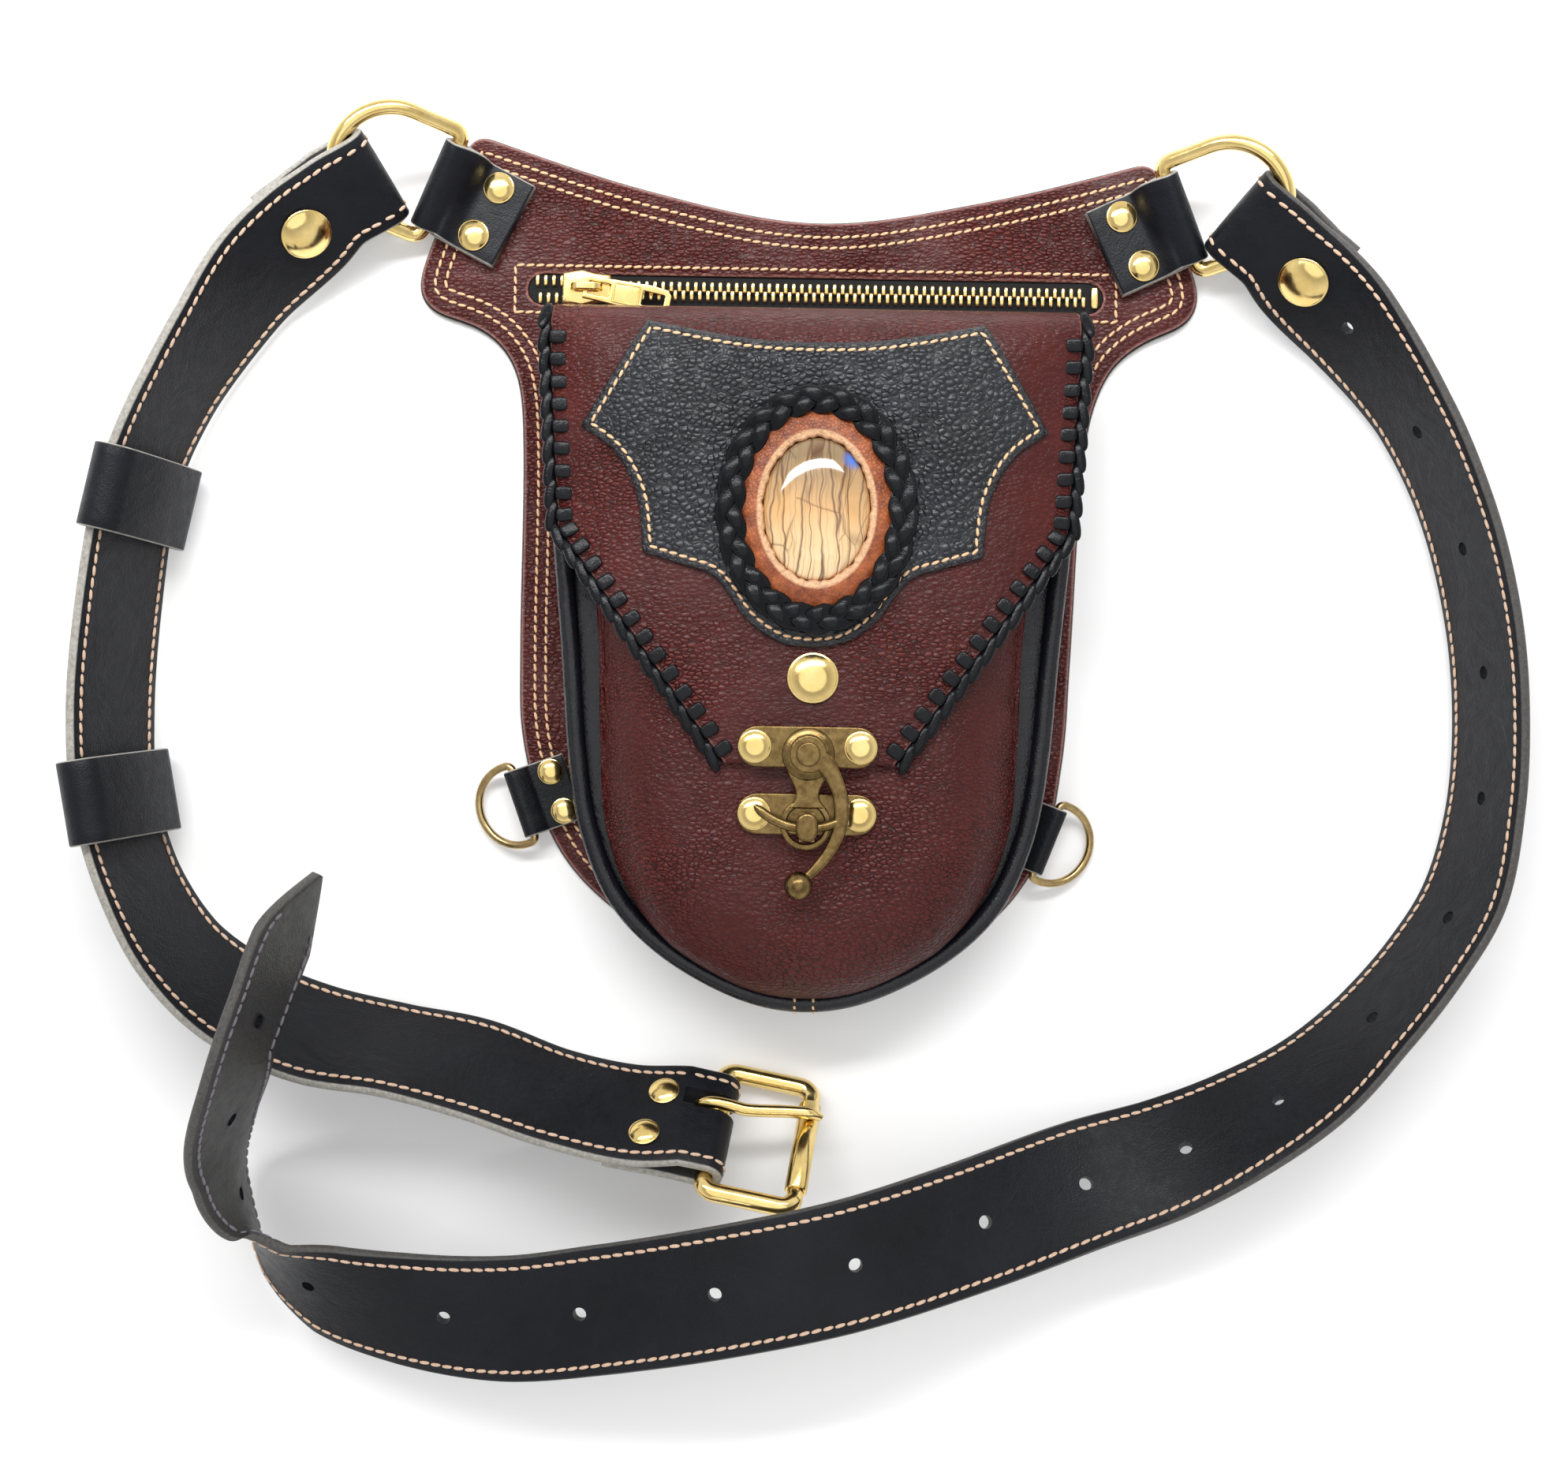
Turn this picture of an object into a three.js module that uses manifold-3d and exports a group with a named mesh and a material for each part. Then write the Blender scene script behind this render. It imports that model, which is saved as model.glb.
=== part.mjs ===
// A leather hip bag lying on its back, with its two-part belt laid open round it.
// Millimetres. The origin is the middle of the bag's back face, +X to the bag's right as it lies,
// +Y towards its waist edge, +Z up from the surface that it lies on.
import * as THREE from "three";
import { mergeVertices } from "three/addons/utils/BufferGeometryUtils.js";
import Module from "manifold-3d";

const wasm = await Module();
wasm.setup();

// Driving dimensions
const GAP = 0.3;
const LAYER_THICK = 1.6;
const PANEL_THICK = 1.8;
const PANEL_TOP = LAYER_THICK + GAP + PANEL_THICK;

const ZIP_Y = 108.3;
const ZIP_HALF_LENGTH = 86.6;
const ZIP_SLOT_HEIGHT = 9.5;
const ZIP_TAPE_THICK = 0.7;
const ZIP_CHAIN_HEIGHT = 5.5;
const ZIP_CHAIN_THICK = 1.5;
const ZIP_PITCH = 5.2;
const ZIP_CHAIN_START = -82;
const ZIP_CHAIN_TEETH = 31;
const SLIDER_X = -68.5;
const SLIDER_LENGTH = 14.5;
const SLIDER_WIDTH = 11;
const SLIDER_THICK = 2.7;
const BAIL_REACH = 4.2;
const BAIL_WIDTH = 2.2;
const BAIL_THICK = 1.2;
const BAIL_OPENING = 2.2;
const PULL_LENGTH = 25.5;
const PULL_WIDTH = 8.4;
const PULL_THICK = 1.3;
const PULL_SWAY = -10;
const PULL_SLOPE = 3;

const PIPING_RADIUS = 2.8;
const PIPING_Z = 25;
const GUSSET_THICK = 1.8;
const GUSSET_FLANGE = 13;
const GUSSET_INSETS = [10, 4, 1.5];
const FRONT_THICK = 1.8;
const FRONT_TOP = 46;
const FRONT_ROLL = 26;
const MOUTH_Y = 84;
const MOUTH_HALF = 62;
const MOUTH_DIP = 1.6;

const FLAP_THICK = 1.8;
const FLAP_HALF = 71.5;
const FLAP_TIP_HALF = 23;
const FLAP_FLARE = 3.2;
const FLAP_SHOULDER_Y = 34;
const FLAP_TIP_Y = -32.5;
const FLAP_DROOP = 9;
const OVERLAY_THICK = 1.6;
const LACE_RADIUS = 1.8;
const LACE_LIFT = 0.6;
const LACE_BAR = { length: 6.4, width: 3.6, thick: 1.3, pitch: 5.9, highest: 90 };

const ORNAMENT = { x: 0.8, y: 38.4 };
const BRAID = { half_x: 23.3, half_y: 30, radius: 2.9 };
const BEZEL = { outer_x: 19.8, outer_y: 26.5, inner_x: 15.3, inner_y: 20.3, height: 4 };
const STONE = { half_x: 14.9, half_y: 19.9, girdle: 2.4, dome: 5.4 };

const CLASP_PLATE = { length: 39, width: 10.8, thick: 1.8 };
const CLASP_UPPER = { x: -0.5, y: -27.7 };
const CLASP_LOWER = { x: -0.4, y: -46.6 };
const CLASP_PIVOT = { x: -0.3, y: -29.7 };
const CLASP_EYE = { x: -0.7, y: -49.4, outer: 7.2, hole: 5.4 };
const CLASP_RIVET_REACH = 14.8;
const CLASP_POST = { x: -0.4, y: -50, length: 8.2, width: 6.2 };
const LEVER_THICK = 2;
const LEVER_PIN = { radius: 20.6, width: 2.3, from: 224, to: 298 };

const TOP_RING = { bar: 34, side: 16, wire: 2 };
const SIDE_RING = { bar: 24, side: 3, wire: 1.2 };
const TOP_TAB = { width: 27.5, ply: 1.6, reach: 23.7 };
const SIDE_TAB = { width: 20.6, ply: 1.4 };

const STRAP_WIDTH = 38;
const STRAP_THICK = 3;
const STRAP_END_WIDTH = 29;
const SNAP_SEAT = 1.3;
const HOLE_RADIUS = 2;
const KEEPER = { length: 24.5, wall: 1.8, across: 40.4, corner: 3, room: 4.2, slack: 1.2 };
const FOLD_REACH = 10;
const BUCKLE = {
  half: 21.5, reach: 27, wire: 2.2, corner: 4, roller: 3.3, span: 31, prong: 3.2, strap: 34.5,
};

// Leather and metal finishes
function finish(color, roughness, metalness) {
  return new THREE.MeshStandardMaterial({ color, roughness, metalness });
}
const OXBLOOD = finish(0x5c2a28, 0.5, 0);
const BLACK = finish(0x1b1d21, 0.5, 0);
const TAN = finish(0xaa5a32, 0.55, 0);
const BRASS = finish(0xe0bc5c, 0.25, 1);
const OLD_BRASS = finish(0x82693c, 0.4, 1);
const STONE_FACE = finish(0xb98a70, 0.15, 0);

// Outline of the back panel: each stretch is a smooth curve through its points
const PANEL_TOP_EDGE = [[-103.5, 154.5], [-52, 138.5], [0, 129.3], [52, 136.8], [101, 149.5]];
const PANEL_RIGHT = [
  [109, 100], [97, 94.5], [87, 84], [81, 60], [78, 0], [76, -32], [69, -62], [46, -86], [0, -98],
];
const PANEL_LEFT = [
  [-32, -92], [-60, -75], [-76, -56], [-85, -28], [-86.5, 0], [-86.5, 58], [-89, 83], [-98, 95],
  [-111, 100],
];
const PANEL_TIP_RIGHT = [[114.5, 112], [116, 103]];
const PANEL_TIP_LEFT = [[-120.5, 102], [-118.5, 112]];

// The pouch's outline: y, half width to the piping's outside, the front edge's inset and its height
const POUCH_ROWS = [
  [MOUTH_Y, 80.5, 12, 24.4], [60, 78, 12, 24.4], [32, 75.5, 12, 24.4], [0, 72.5, 12, 24.4],
  [-31, 70, 10.5, 24.4], [-54, 66, 8.5, 24.4], [-74.5, 57, 7.4, 25.5], [-90, 41.3, 4.8, 29.4],
  [-101.5, 19.5, 3.4, 29.4], [-105, 0, 3, 29.4],
];

// The flap's run from its seam under the zip over the mouth to its tip: y, z, share of the side droop
const FLAP_ROWS = [
  [99, PANEL_TOP + GAP, 0], [99.2, 14, 0], [98.6, 26, 0], [96.8, 36, 0.1], [93.8, 43, 0.4], [88, 47.8, 0.8],
  [78, 49.6, 1], [56, 50, 1], [FLAP_SHOULDER_Y, 50, 1], [12, 49.9, 1], [-11, 49.5, 1], [FLAP_TIP_Y, 48.7, 1],
];

// Right half of the overlay's outline from its top middle down to its bottom point
const OVERLAY_TOP = [[0, 85.6], [16, 86.2], [32, 88.6], [47.6, 92]];
const OVERLAY_SIDE = [[66.2, 61.8], [56, 54], [49.6, 42], [47.7, 26]];
const OVERLAY_FOOT = [[36, 22.5], [27, 19], [18, 7.5], [9, 1.5], [0, 0]];

// The belt's two halves from their rings: centre x, y, z, lean of the outer edge in degrees, width
const STRAP_LEFT_ROWS = [
  [-150.5, 121, 20, 44, 34], [-165, 107, 19.5, 58, 38], [-176, 90.5, 20.5, 66, 38], [-186, 73, 21.5, 71, 38],
  [-193.5, 56, 22.5, 72, 38], [-197.5, 42, 23, 71, 38], [-202, 12, 22, 69, 38], [-204, -20, 22, 68, 38],
  [-202, -46, 22.8, 69, 38], [-195, -70, 21.5, 68, 38], [-183, -91, 19, 62, 38], [-167, -105, 16.6, 53, 38],
  [-145, -114.5, 16.2, 50, 38], [-120, -119, 17, 54, 38], [-97, -124, 16.5, 50, 38],
  [-73, -132, 17.5, 52, 38], [-50, -136.5, 19, 49, 37],
];
const STRAP_RIGHT_ROWS = [
  [143.5, 112, 19.8, 44, 34], [156.5, 99, 19.3, 58, 38], [175.5, 73, 20, 72, 38], [188.5, 45, 20.5, 75, 38],
  [196.5, 15, 20.5, 75, 38], [199.5, -13, 20.5, 75, 38], [198.5, -42, 20.5, 74, 38], [193, -68, 20, 70, 38],
  [182, -87, 20, 69, 38], [167, -106, 19.5, 66, 38], [150, -123, 18.5, 57, 38], [128, -137, 18, 46, 38],
  [107, -147, 17.5, 34, 38], [83, -155, 18.5, 19, 38], [49, -166, 28, 5, 38], [14, -175.5, 38.2, 0, 38],
  [-21, -183.5, 38, 0, 38], [-56, -191, 31, -2, 38], [-86, -195.5, 26, -8, 38], [-116, -193.5, 24, -22, 38],
  [-138, -188.5, 23, -36, 38], [-153, -180, 22.5, -60, 38], [-163, -165, 23.5, -86, 38],
  [-164.5, -145, 37.5, -99, 38], [-157.5, -120, 56, -102, 38], [-151, -99, 54, -103, 38],
  [-146.5, -85, 51.5, -104, 38],
];
const STRAP_TIP = [-138, -66, 46, -105, 3];

// Runs of punched holes: where each run starts along the belt, its hand-set pitch and its number of holes
const HOLE_ROWS = [[40, 37.1, 8], [330.5, 31.5, 2], [395, 40.7, 6], [634, 33.3, 3]];

// Rings: where the bar's middle is, the belt's heading from it, the ring's turn in its plane, the belt's lean
// there, and how far the belt's middle lies off the arc's middle
const RING_LEFT = { bar: [-111.8, 137, 11.2], heading: 210.7, turn: 53, lean: 34, off: -0.6, side: 1 };
const RING_RIGHT = { bar: [107.6, 131, 11.2], heading: -39.3, turn: 60, lean: 34, off: -0.5, side: -1 };
const SIDE_TABS = {
  left: { fold: [-87.4, -46.9], inward: 19.9, reach: 15.5, rivets: 10.6 },
  right: { fold: [74.2, -55.6], inward: 158.8, reach: 12.5, rivets: 8.8 },
};
const BUCKLE_BAR = { x: -26, y: -140.6, z: 18.2, heading: -11, lean: 45 };

// Vectors
const UP = new THREE.Vector3(0, 0, 1);

function vec(x, y, z = 0) {
  return new THREE.Vector3(x, y, z);
}

function heading(degrees) {
  const angle = THREE.MathUtils.degToRad(degrees);
  return vec(Math.cos(angle), Math.sin(angle));
}

function along(origin, ...steps) {
  const point = origin.clone();
  for (const [direction, distance] of steps) point.addScaledVector(direction, distance);
  return point;
}

function mix(a, b, share) {
  return a + (b - a) * share;
}

// Solids
function faceOut(geometry) {
  const place = geometry.getAttribute("position");
  const index = geometry.index.array;
  const [a, b, c] = [vec(0, 0), vec(0, 0), vec(0, 0)];
  let volume = 0;
  for (let i = 0; i < index.length; i += 3) {
    a.fromBufferAttribute(place, index[i]);
    b.fromBufferAttribute(place, index[i + 1]);
    c.fromBufferAttribute(place, index[i + 2]);
    volume += a.dot(b.cross(c));
  }
  if (volume < 0) geometry.index.array.reverse();
  return geometry;
}

function geometryOf(points, triangles) {
  const geometry = new THREE.BufferGeometry();
  geometry.setAttribute("position", new THREE.Float32BufferAttribute(points.flatMap((p) => p.toArray()), 3));
  geometry.setIndex(triangles.flat());
  return faceOut(geometry);
}

// Rings of points joined one to the next, either closed on itself or capped by the section's own triangles
function loft(rings, { closed = false, section = null } = {}) {
  const count = rings[0].length;
  const triangles = [];
  const steps = closed ? rings.length : rings.length - 1;
  for (let i = 0; i < steps; i++) {
    const next = ((i + 1) % rings.length) * count;
    for (let j = 0; j < count; j++) {
      const k = (j + 1) % count;
      triangles.push([i * count + j, next + j, next + k], [i * count + j, next + k, i * count + k]);
    }
  }
  if (!closed) {
    const fan = Array.from({ length: count - 2 }, (_, j) => [0, j + 1, j + 2]);
    const cap = section ? THREE.ShapeUtils.triangulateShape(section, []) : fan;
    const last = (rings.length - 1) * count;
    const turned = section && THREE.ShapeUtils.isClockWise(section);
    for (const [a, b, c] of cap) {
      triangles.push(turned ? [a, c, b] : [a, b, c]);
      triangles.push(turned ? [last + a, last + b, last + c] : [last + a, last + c, last + b]);
    }
    orientCaps(triangles, steps * count * 2);
  }
  return geometryOf(rings.flat(), triangles);
}

// The caps turn the way that the side faces next to them turn
function orientCaps(triangles, sides) {
  const edges = new Set();
  for (const [a, b, c] of triangles.slice(0, sides)) {
    edges.add(a + "," + b).add(b + "," + c).add(c + "," + a);
  }
  const clashes = triangles.slice(sides).some(([a, b, c]) => [[a, b], [b, c], [c, a]].some(
    ([p, q]) => edges.has(p + "," + q)));
  if (clashes) for (let i = sides; i < triangles.length; i++) triangles[i].reverse();
}

// A band of leather: stations give its middle, its width direction and its width
function ribbon(stations, thickness, closed = false) {
  const last = stations.length - 1;
  const rings = stations.map(({ p, w, width }, i) => {
    const before = stations[closed ? (i + last) % stations.length : Math.max(i - 1, 0)].p;
    const after = stations[closed ? (i + 1) % stations.length : Math.min(i + 1, last)].p;
    const tangent = after.clone().sub(before).normalize();
    const normal = tangent.clone().cross(w).normalize();
    const [h, t] = [width / 2, thickness / 2];
    return [
      along(p, [w, -h], [normal, -t]), along(p, [w, h], [normal, -t]),
      along(p, [w, h], [normal, t]), along(p, [w, -h], [normal, t]),
    ];
  });
  return loft(rings, { closed });
}

// A round wire along a path
function tube(path, radius, sides, closed = false) {
  const last = path.length - 1;
  let side = null;
  const rings = path.map((p, i) => {
    const before = path[closed ? (i + last) % path.length : Math.max(i - 1, 0)];
    const after = path[closed ? (i + 1) % path.length : Math.min(i + 1, last)];
    const tangent = after.clone().sub(before).normalize();
    if (!side) side = vec(-tangent.y, tangent.x, 0.1).cross(tangent).normalize();
    side = side.clone().addScaledVector(tangent, -side.dot(tangent)).normalize();
    const other = tangent.clone().cross(side);
    return Array.from({ length: sides }, (_, j) => {
      const angle = (2 * Math.PI * j) / sides;
      return along(p, [side, radius * Math.cos(angle)], [other, radius * Math.sin(angle)]);
    });
  });
  return loft(rings, { closed });
}

// A skin of even thickness about a grid of middle points
function skin(grid, thickness) {
  const rows = grid.length;
  const columns = grid[0].length;
  const normalAt = (i, j) => {
    const du = grid[i][Math.min(j + 1, columns - 1)].clone().sub(grid[i][Math.max(j - 1, 0)]);
    const dv = grid[Math.min(i + 1, rows - 1)][j].clone().sub(grid[Math.max(i - 1, 0)][j]);
    return du.cross(dv).normalize();
  };
  const normals = grid.map((row, i) => row.map((_, j) => normalAt(i, j)));
  const shifted = (distance) => grid.map((row, i) => row.map((p, j) => along(p, [normals[i][j], distance])));
  return slab(shifted(thickness / 2), shifted(-thickness / 2));
}

// A closed solid between two grids of points
function slab(top, bottom) {
  const rows = top.length;
  const columns = top[0].length;
  const size = rows * columns;
  const at = (i, j) => i * columns + j;
  const triangles = [];
  const quad = (a, b, c, d) => triangles.push([a, b, c], [a, c, d]);
  for (let i = 0; i < rows - 1; i++) {
    for (let j = 0; j < columns - 1; j++) {
      quad(at(i, j), at(i, j + 1), at(i + 1, j + 1), at(i + 1, j));
      quad(size + at(i, j), size + at(i + 1, j), size + at(i + 1, j + 1), size + at(i, j + 1));
    }
    quad(at(i, 0), at(i + 1, 0), size + at(i + 1, 0), size + at(i, 0));
    const e = columns - 1;
    quad(at(i, e), size + at(i, e), size + at(i + 1, e), at(i + 1, e));
  }
  for (let j = 0; j < columns - 1; j++) {
    const e = rows - 1;
    quad(at(0, j), size + at(0, j), size + at(0, j + 1), at(0, j + 1));
    quad(at(e, j), at(e, j + 1), size + at(e, j + 1), size + at(e, j));
  }
  return geometryOf([...top.flat(), ...bottom.flat()], triangles);
}

function plate(shape, thickness, bottom, curveSegments = 8) {
  const geometry = new THREE.ExtrudeGeometry(shape, { depth: thickness, bevelEnabled: false, curveSegments });
  return geometry.translate(0, 0, bottom);
}

// A turned form about an upright axis: the profile holds radius and height, from axis to axis
function turned(profile, segments) {
  const points = profile.map(([radius, height]) => new THREE.Vector2(radius, height));
  return new THREE.LatheGeometry(points, segments).rotateX(Math.PI / 2);
}

function stadium(length, width) {
  const [h, r] = [length / 2 - width / 2, width / 2];
  const shape = new THREE.Shape();
  shape.moveTo(-h, -r).lineTo(h, -r);
  shape.absarc(h, 0, r, -Math.PI / 2, Math.PI / 2);
  shape.lineTo(-h, r);
  shape.absarc(-h, 0, r, Math.PI / 2, 1.5 * Math.PI);
  return shape;
}

function rounded(length, width, r) {
  const [h, v] = [length / 2 - r, width / 2 - r];
  const shape = new THREE.Shape();
  shape.absarc(h, -v, r, -Math.PI / 2, 0).absarc(h, v, r, 0, Math.PI / 2);
  shape.absarc(-h, v, r, Math.PI / 2, Math.PI).absarc(-h, -v, r, Math.PI, 1.5 * Math.PI);
  return shape;
}

// Joining and cutting
function solidOf(geometry) {
  const bare = geometry.clone();
  bare.deleteAttribute("normal");
  bare.deleteAttribute("uv");
  const merged = mergeVertices(bare, 1e-3);
  return new wasm.Manifold(new wasm.Mesh({
    numProp: 3,
    vertProperties: merged.getAttribute("position").array,
    triVerts: new Uint32Array(merged.index.array),
  }));
}

function geometryFrom(solid) {
  const made = solid.getMesh();
  const geometry = new THREE.BufferGeometry();
  geometry.setAttribute("position", new THREE.BufferAttribute(made.vertProperties, made.numProp));
  return geometry.setIndex(new THREE.BufferAttribute(made.triVerts, 1));
}

function joined(geometries) {
  return geometryFrom(geometries.map(solidOf).reduce((a, b) => a.add(b)));
}

function cut(geometry, tools) {
  return geometryFrom(tools.map(solidOf).reduce((a, b) => a.subtract(b), solidOf(geometry)));
}

function common(a, b) {
  return geometryFrom(solidOf(a).intersect(solidOf(b)));
}

// The bag
const bag = new THREE.Group();

function add(name, geometry, material) {
  const mesh = new THREE.Mesh(geometry, material);
  mesh.name = name;
  bag.add(mesh);
  return mesh;
}

// A cap or other turned piece seated on a point, its axis along a direction
function seat(mesh, point, direction) {
  mesh.position.copy(point);
  mesh.quaternion.setFromUnitVectors(UP, direction.clone().normalize());
  return mesh;
}

function cap(radius, height) {
  return turned([[0, 0], [radius, 0], [radius * 0.8, height * 0.75], [0, height]], 10);
}

// Back
function panelShape() {
  const points = (rows) => rows.map(([x, y]) => new THREE.Vector2(x, y));
  const shape = new THREE.Shape();
  shape.moveTo(...PANEL_TOP_EDGE[0]);
  shape.splineThru(points(PANEL_TOP_EDGE.slice(1)));
  shape.lineTo(...PANEL_TIP_RIGHT[0]);
  shape.quadraticCurveTo(...PANEL_TIP_RIGHT[1], ...PANEL_RIGHT[0]);
  shape.splineThru(points([...PANEL_RIGHT.slice(1), ...PANEL_LEFT]));
  shape.quadraticCurveTo(...PANEL_TIP_LEFT[0], ...PANEL_TIP_LEFT[1]);
  shape.closePath();
  return shape;
}

function back() {
  add("back_layer", plate(panelShape(), LAYER_THICK, 0, 3), BLACK);
  const shape = panelShape();
  const slot = new THREE.Path(stadium(2 * ZIP_HALF_LENGTH, ZIP_SLOT_HEIGHT).getPoints(4)
    .map((p) => p.add(new THREE.Vector2(0, ZIP_Y))));
  shape.holes.push(slot);
  add("back_panel", plate(shape, PANEL_THICK, LAYER_THICK + GAP, 3), OXBLOOD);
}

function zip() {
  const tape_bottom = LAYER_THICK + GAP;
  const tape_shape = stadium(2 * ZIP_HALF_LENGTH - 2 * GAP, ZIP_SLOT_HEIGHT - 2 * GAP);
  const tape = plate(tape_shape, ZIP_TAPE_THICK, tape_bottom, 4);
  add("zip_tape", tape.translate(0, ZIP_Y, 0), BLACK);

  const half = ZIP_CHAIN_HEIGHT / 2;
  const chain = new THREE.Shape();
  const end = ZIP_CHAIN_START + ZIP_CHAIN_TEETH * ZIP_PITCH;
  chain.moveTo(ZIP_CHAIN_START, -half * 0.55);
  for (let i = 0; i < ZIP_CHAIN_TEETH; i++) {
    chain.lineTo(ZIP_CHAIN_START + (i + 0.5) * ZIP_PITCH, -half);
    chain.lineTo(ZIP_CHAIN_START + (i + 1) * ZIP_PITCH, -half * 0.55);
  }
  for (let i = ZIP_CHAIN_TEETH; i > 0; i--) {
    chain.lineTo(ZIP_CHAIN_START + i * ZIP_PITCH, half * 0.55);
    chain.lineTo(ZIP_CHAIN_START + (i - 0.5) * ZIP_PITCH, half);
  }
  chain.lineTo(ZIP_CHAIN_START, half * 0.55);
  const chain_bottom = tape_bottom + ZIP_TAPE_THICK + GAP;
  const stop = new THREE.BoxGeometry(3.4, ZIP_CHAIN_HEIGHT + 1, ZIP_CHAIN_THICK)
    .translate(end + 1, 0, chain_bottom + ZIP_CHAIN_THICK / 2);
  add("zip_teeth", joined([plate(chain, ZIP_CHAIN_THICK, chain_bottom), stop]).translate(0, ZIP_Y, 0), BRASS);

  const body_bottom = chain_bottom + ZIP_CHAIN_THICK + GAP;
  const body = new THREE.Shape();
  const [l, w] = [SLIDER_LENGTH / 2, SLIDER_WIDTH / 2];
  body.moveTo(-l, -w * 0.8).quadraticCurveTo(-l * 0.2, -w * 1.15, l * 0.35, -w * 0.75).lineTo(l, -w * 0.7);
  body.lineTo(l, w * 0.7).lineTo(l * 0.35, w * 0.75).quadraticCurveTo(-l * 0.2, w * 1.15, -l, w * 0.8);
  const bail_bottom = body_bottom + SLIDER_THICK;
  const bail_top = bail_bottom + BAIL_OPENING + BAIL_THICK;
  const leg_height = bail_top - body_bottom;
  const bail = [-BAIL_REACH, BAIL_REACH].map((x) => new THREE.BoxGeometry(BAIL_THICK, BAIL_WIDTH, leg_height)
    .translate(x, 0, (bail_top + body_bottom) / 2));
  const bridge = new THREE.BoxGeometry(2 * BAIL_REACH, BAIL_WIDTH, BAIL_THICK);
  bail.push(bridge.translate(0, 0, bail_top - BAIL_THICK / 2));
  const slider = joined([plate(body, SLIDER_THICK, body_bottom, 4), ...bail]);
  add("zip_slider", slider.translate(SLIDER_X, ZIP_Y, 0), BRASS);

  const pull = new THREE.Shape();
  const [start, stop_x, tall] = [-PULL_THICK / 2, PULL_LENGTH, PULL_WIDTH / 2];
  pull.moveTo(start, -tall * 0.8).lineTo(stop_x - 6, -tall).lineTo(stop_x, -tall * 0.8);
  pull.lineTo(stop_x, tall * 0.8).lineTo(stop_x - 6, tall).lineTo(start, tall * 0.8);
  const window = (from, to, height) => {
    const corners = [[from, -height], [to, -height], [to, height], [from, height]];
    return new THREE.Path(corners.map(([x, y]) => new THREE.Vector2(x, y)));
  };
  pull.holes.push(window(PULL_THICK / 2, BAIL_REACH + 3, BAIL_WIDTH / 2 + 0.9));
  pull.holes.push(window(stop_x - 8.5, stop_x - 1.8, tall * 0.5));
  const hung = add("zip_pull", plate(pull, PULL_THICK, -PULL_THICK / 2), BRASS);
  hung.position.set(SLIDER_X, ZIP_Y, bail_bottom + BAIL_OPENING / 2);
  hung.rotation.set(0, THREE.MathUtils.degToRad(PULL_SLOPE), THREE.MathUtils.degToRad(PULL_SWAY));
}

// Pouch: the outline's points from mouth to mouth, with the way out of the pouch and the front's inset there
function pouchOutline(count) {
  const side = (sign) => POUCH_ROWS.map(([y, half]) => new THREE.Vector2(sign * half, y));
  const curve = new THREE.SplineCurve([...side(-1), ...side(1).reverse().slice(1)]);
  const last = POUCH_ROWS.length - 1;
  return Array.from({ length: count }, (_, i) => {
    const share = i / (count - 1);
    const row = last - Math.abs(2 * share - 1) * last;
    const low = Math.min(Math.floor(row), last - 1);
    const [above, below] = [POUCH_ROWS[low], POUCH_ROWS[low + 1]];
    const [inset, rest] = [2, 3].map((column) => mix(above[column], below[column], row - low));
    const place = curve.getPoint(share);
    const tangent = curve.getTangent(share);
    const point = vec(place.x, place.y);
    const out = vec(tangent.y, -tangent.x);
    if (out.dot(vec(place.x, place.y - 10)) < 0) out.negate();
    return { point, out, inset, rest };
  });
}

// The front's height at a reach in from its edge, which rests at its own height
function frontHeight(reach, rest) {
  const share = Math.min(reach / FRONT_ROLL, 1);
  return mix(rest, FRONT_TOP, Math.pow(1 - Math.pow(1 - share, 2), 0.62));
}

function pouch() {
  const outline = pouchOutline(31);
  const piping = outline.map(({ point, out }) => along(point, [out, -PIPING_RADIUS], [UP, PIPING_Z]));
  add("pouch_piping", tube(piping, PIPING_RADIUS, 6), BLACK);

  const top = PIPING_Z - PIPING_RADIUS - GAP;
  const [foot, waist, rim] = GUSSET_INSETS;
  const wall = [
    [-foot, PANEL_TOP + GAP], [-waist, 13], [-rim, top], [-rim - GUSSET_FLANGE, top],
    [-rim - GUSSET_FLANGE, top - GUSSET_THICK], [-rim - GUSSET_THICK, top - GUSSET_THICK],
    [-waist - GUSSET_THICK, 13], [-foot - GUSSET_THICK, PANEL_TOP + GAP],
  ];
  const section = wall.map(([x, y]) => new THREE.Vector2(x, y));
  const rings = outline.map(({ point, out }) => wall.map(([n, z]) => along(point, [out, n], [UP, z])));
  add("pouch_gusset", loft(rings, { section }), BLACK);

  const edge = outline.map(({ point, out, inset }) => along(point, [out, -inset]));
  const shares = [0, 0.45, 0.72, 0.87, 0.96, 1];
  const grid = shares.map((share) => edge.map((p, i) => {
    const mouth = vec(mix(-MOUTH_HALF, MOUTH_HALF, i / (edge.length - 1)), MOUTH_Y + 1);
    const flat = mouth.lerp(p, share);
    const reaches = edge.map((q) => q.distanceTo(flat));
    const reach = Math.min(...reaches);
    const dip = MOUTH_DIP * THREE.MathUtils.smoothstep(flat.y, 55, MOUTH_Y);
    flat.z = frontHeight(reach, outline[reaches.indexOf(reach)].rest) - dip;
    return flat;
  }));
  add("pouch_front", skin(grid, FRONT_THICK), OXBLOOD);
}

// Flap
function flapHalf(y) {
  const share = THREE.MathUtils.clamp((FLAP_SHOULDER_Y - y) / (FLAP_SHOULDER_Y - FLAP_TIP_Y), 0, 1);
  const flare = FLAP_FLARE * Math.max(0, y - FLAP_SHOULDER_Y) / (MOUTH_Y - FLAP_SHOULDER_Y);
  return mix(FLAP_HALF, FLAP_TIP_HALF, share) + Math.min(flare, FLAP_FLARE);
}

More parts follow.
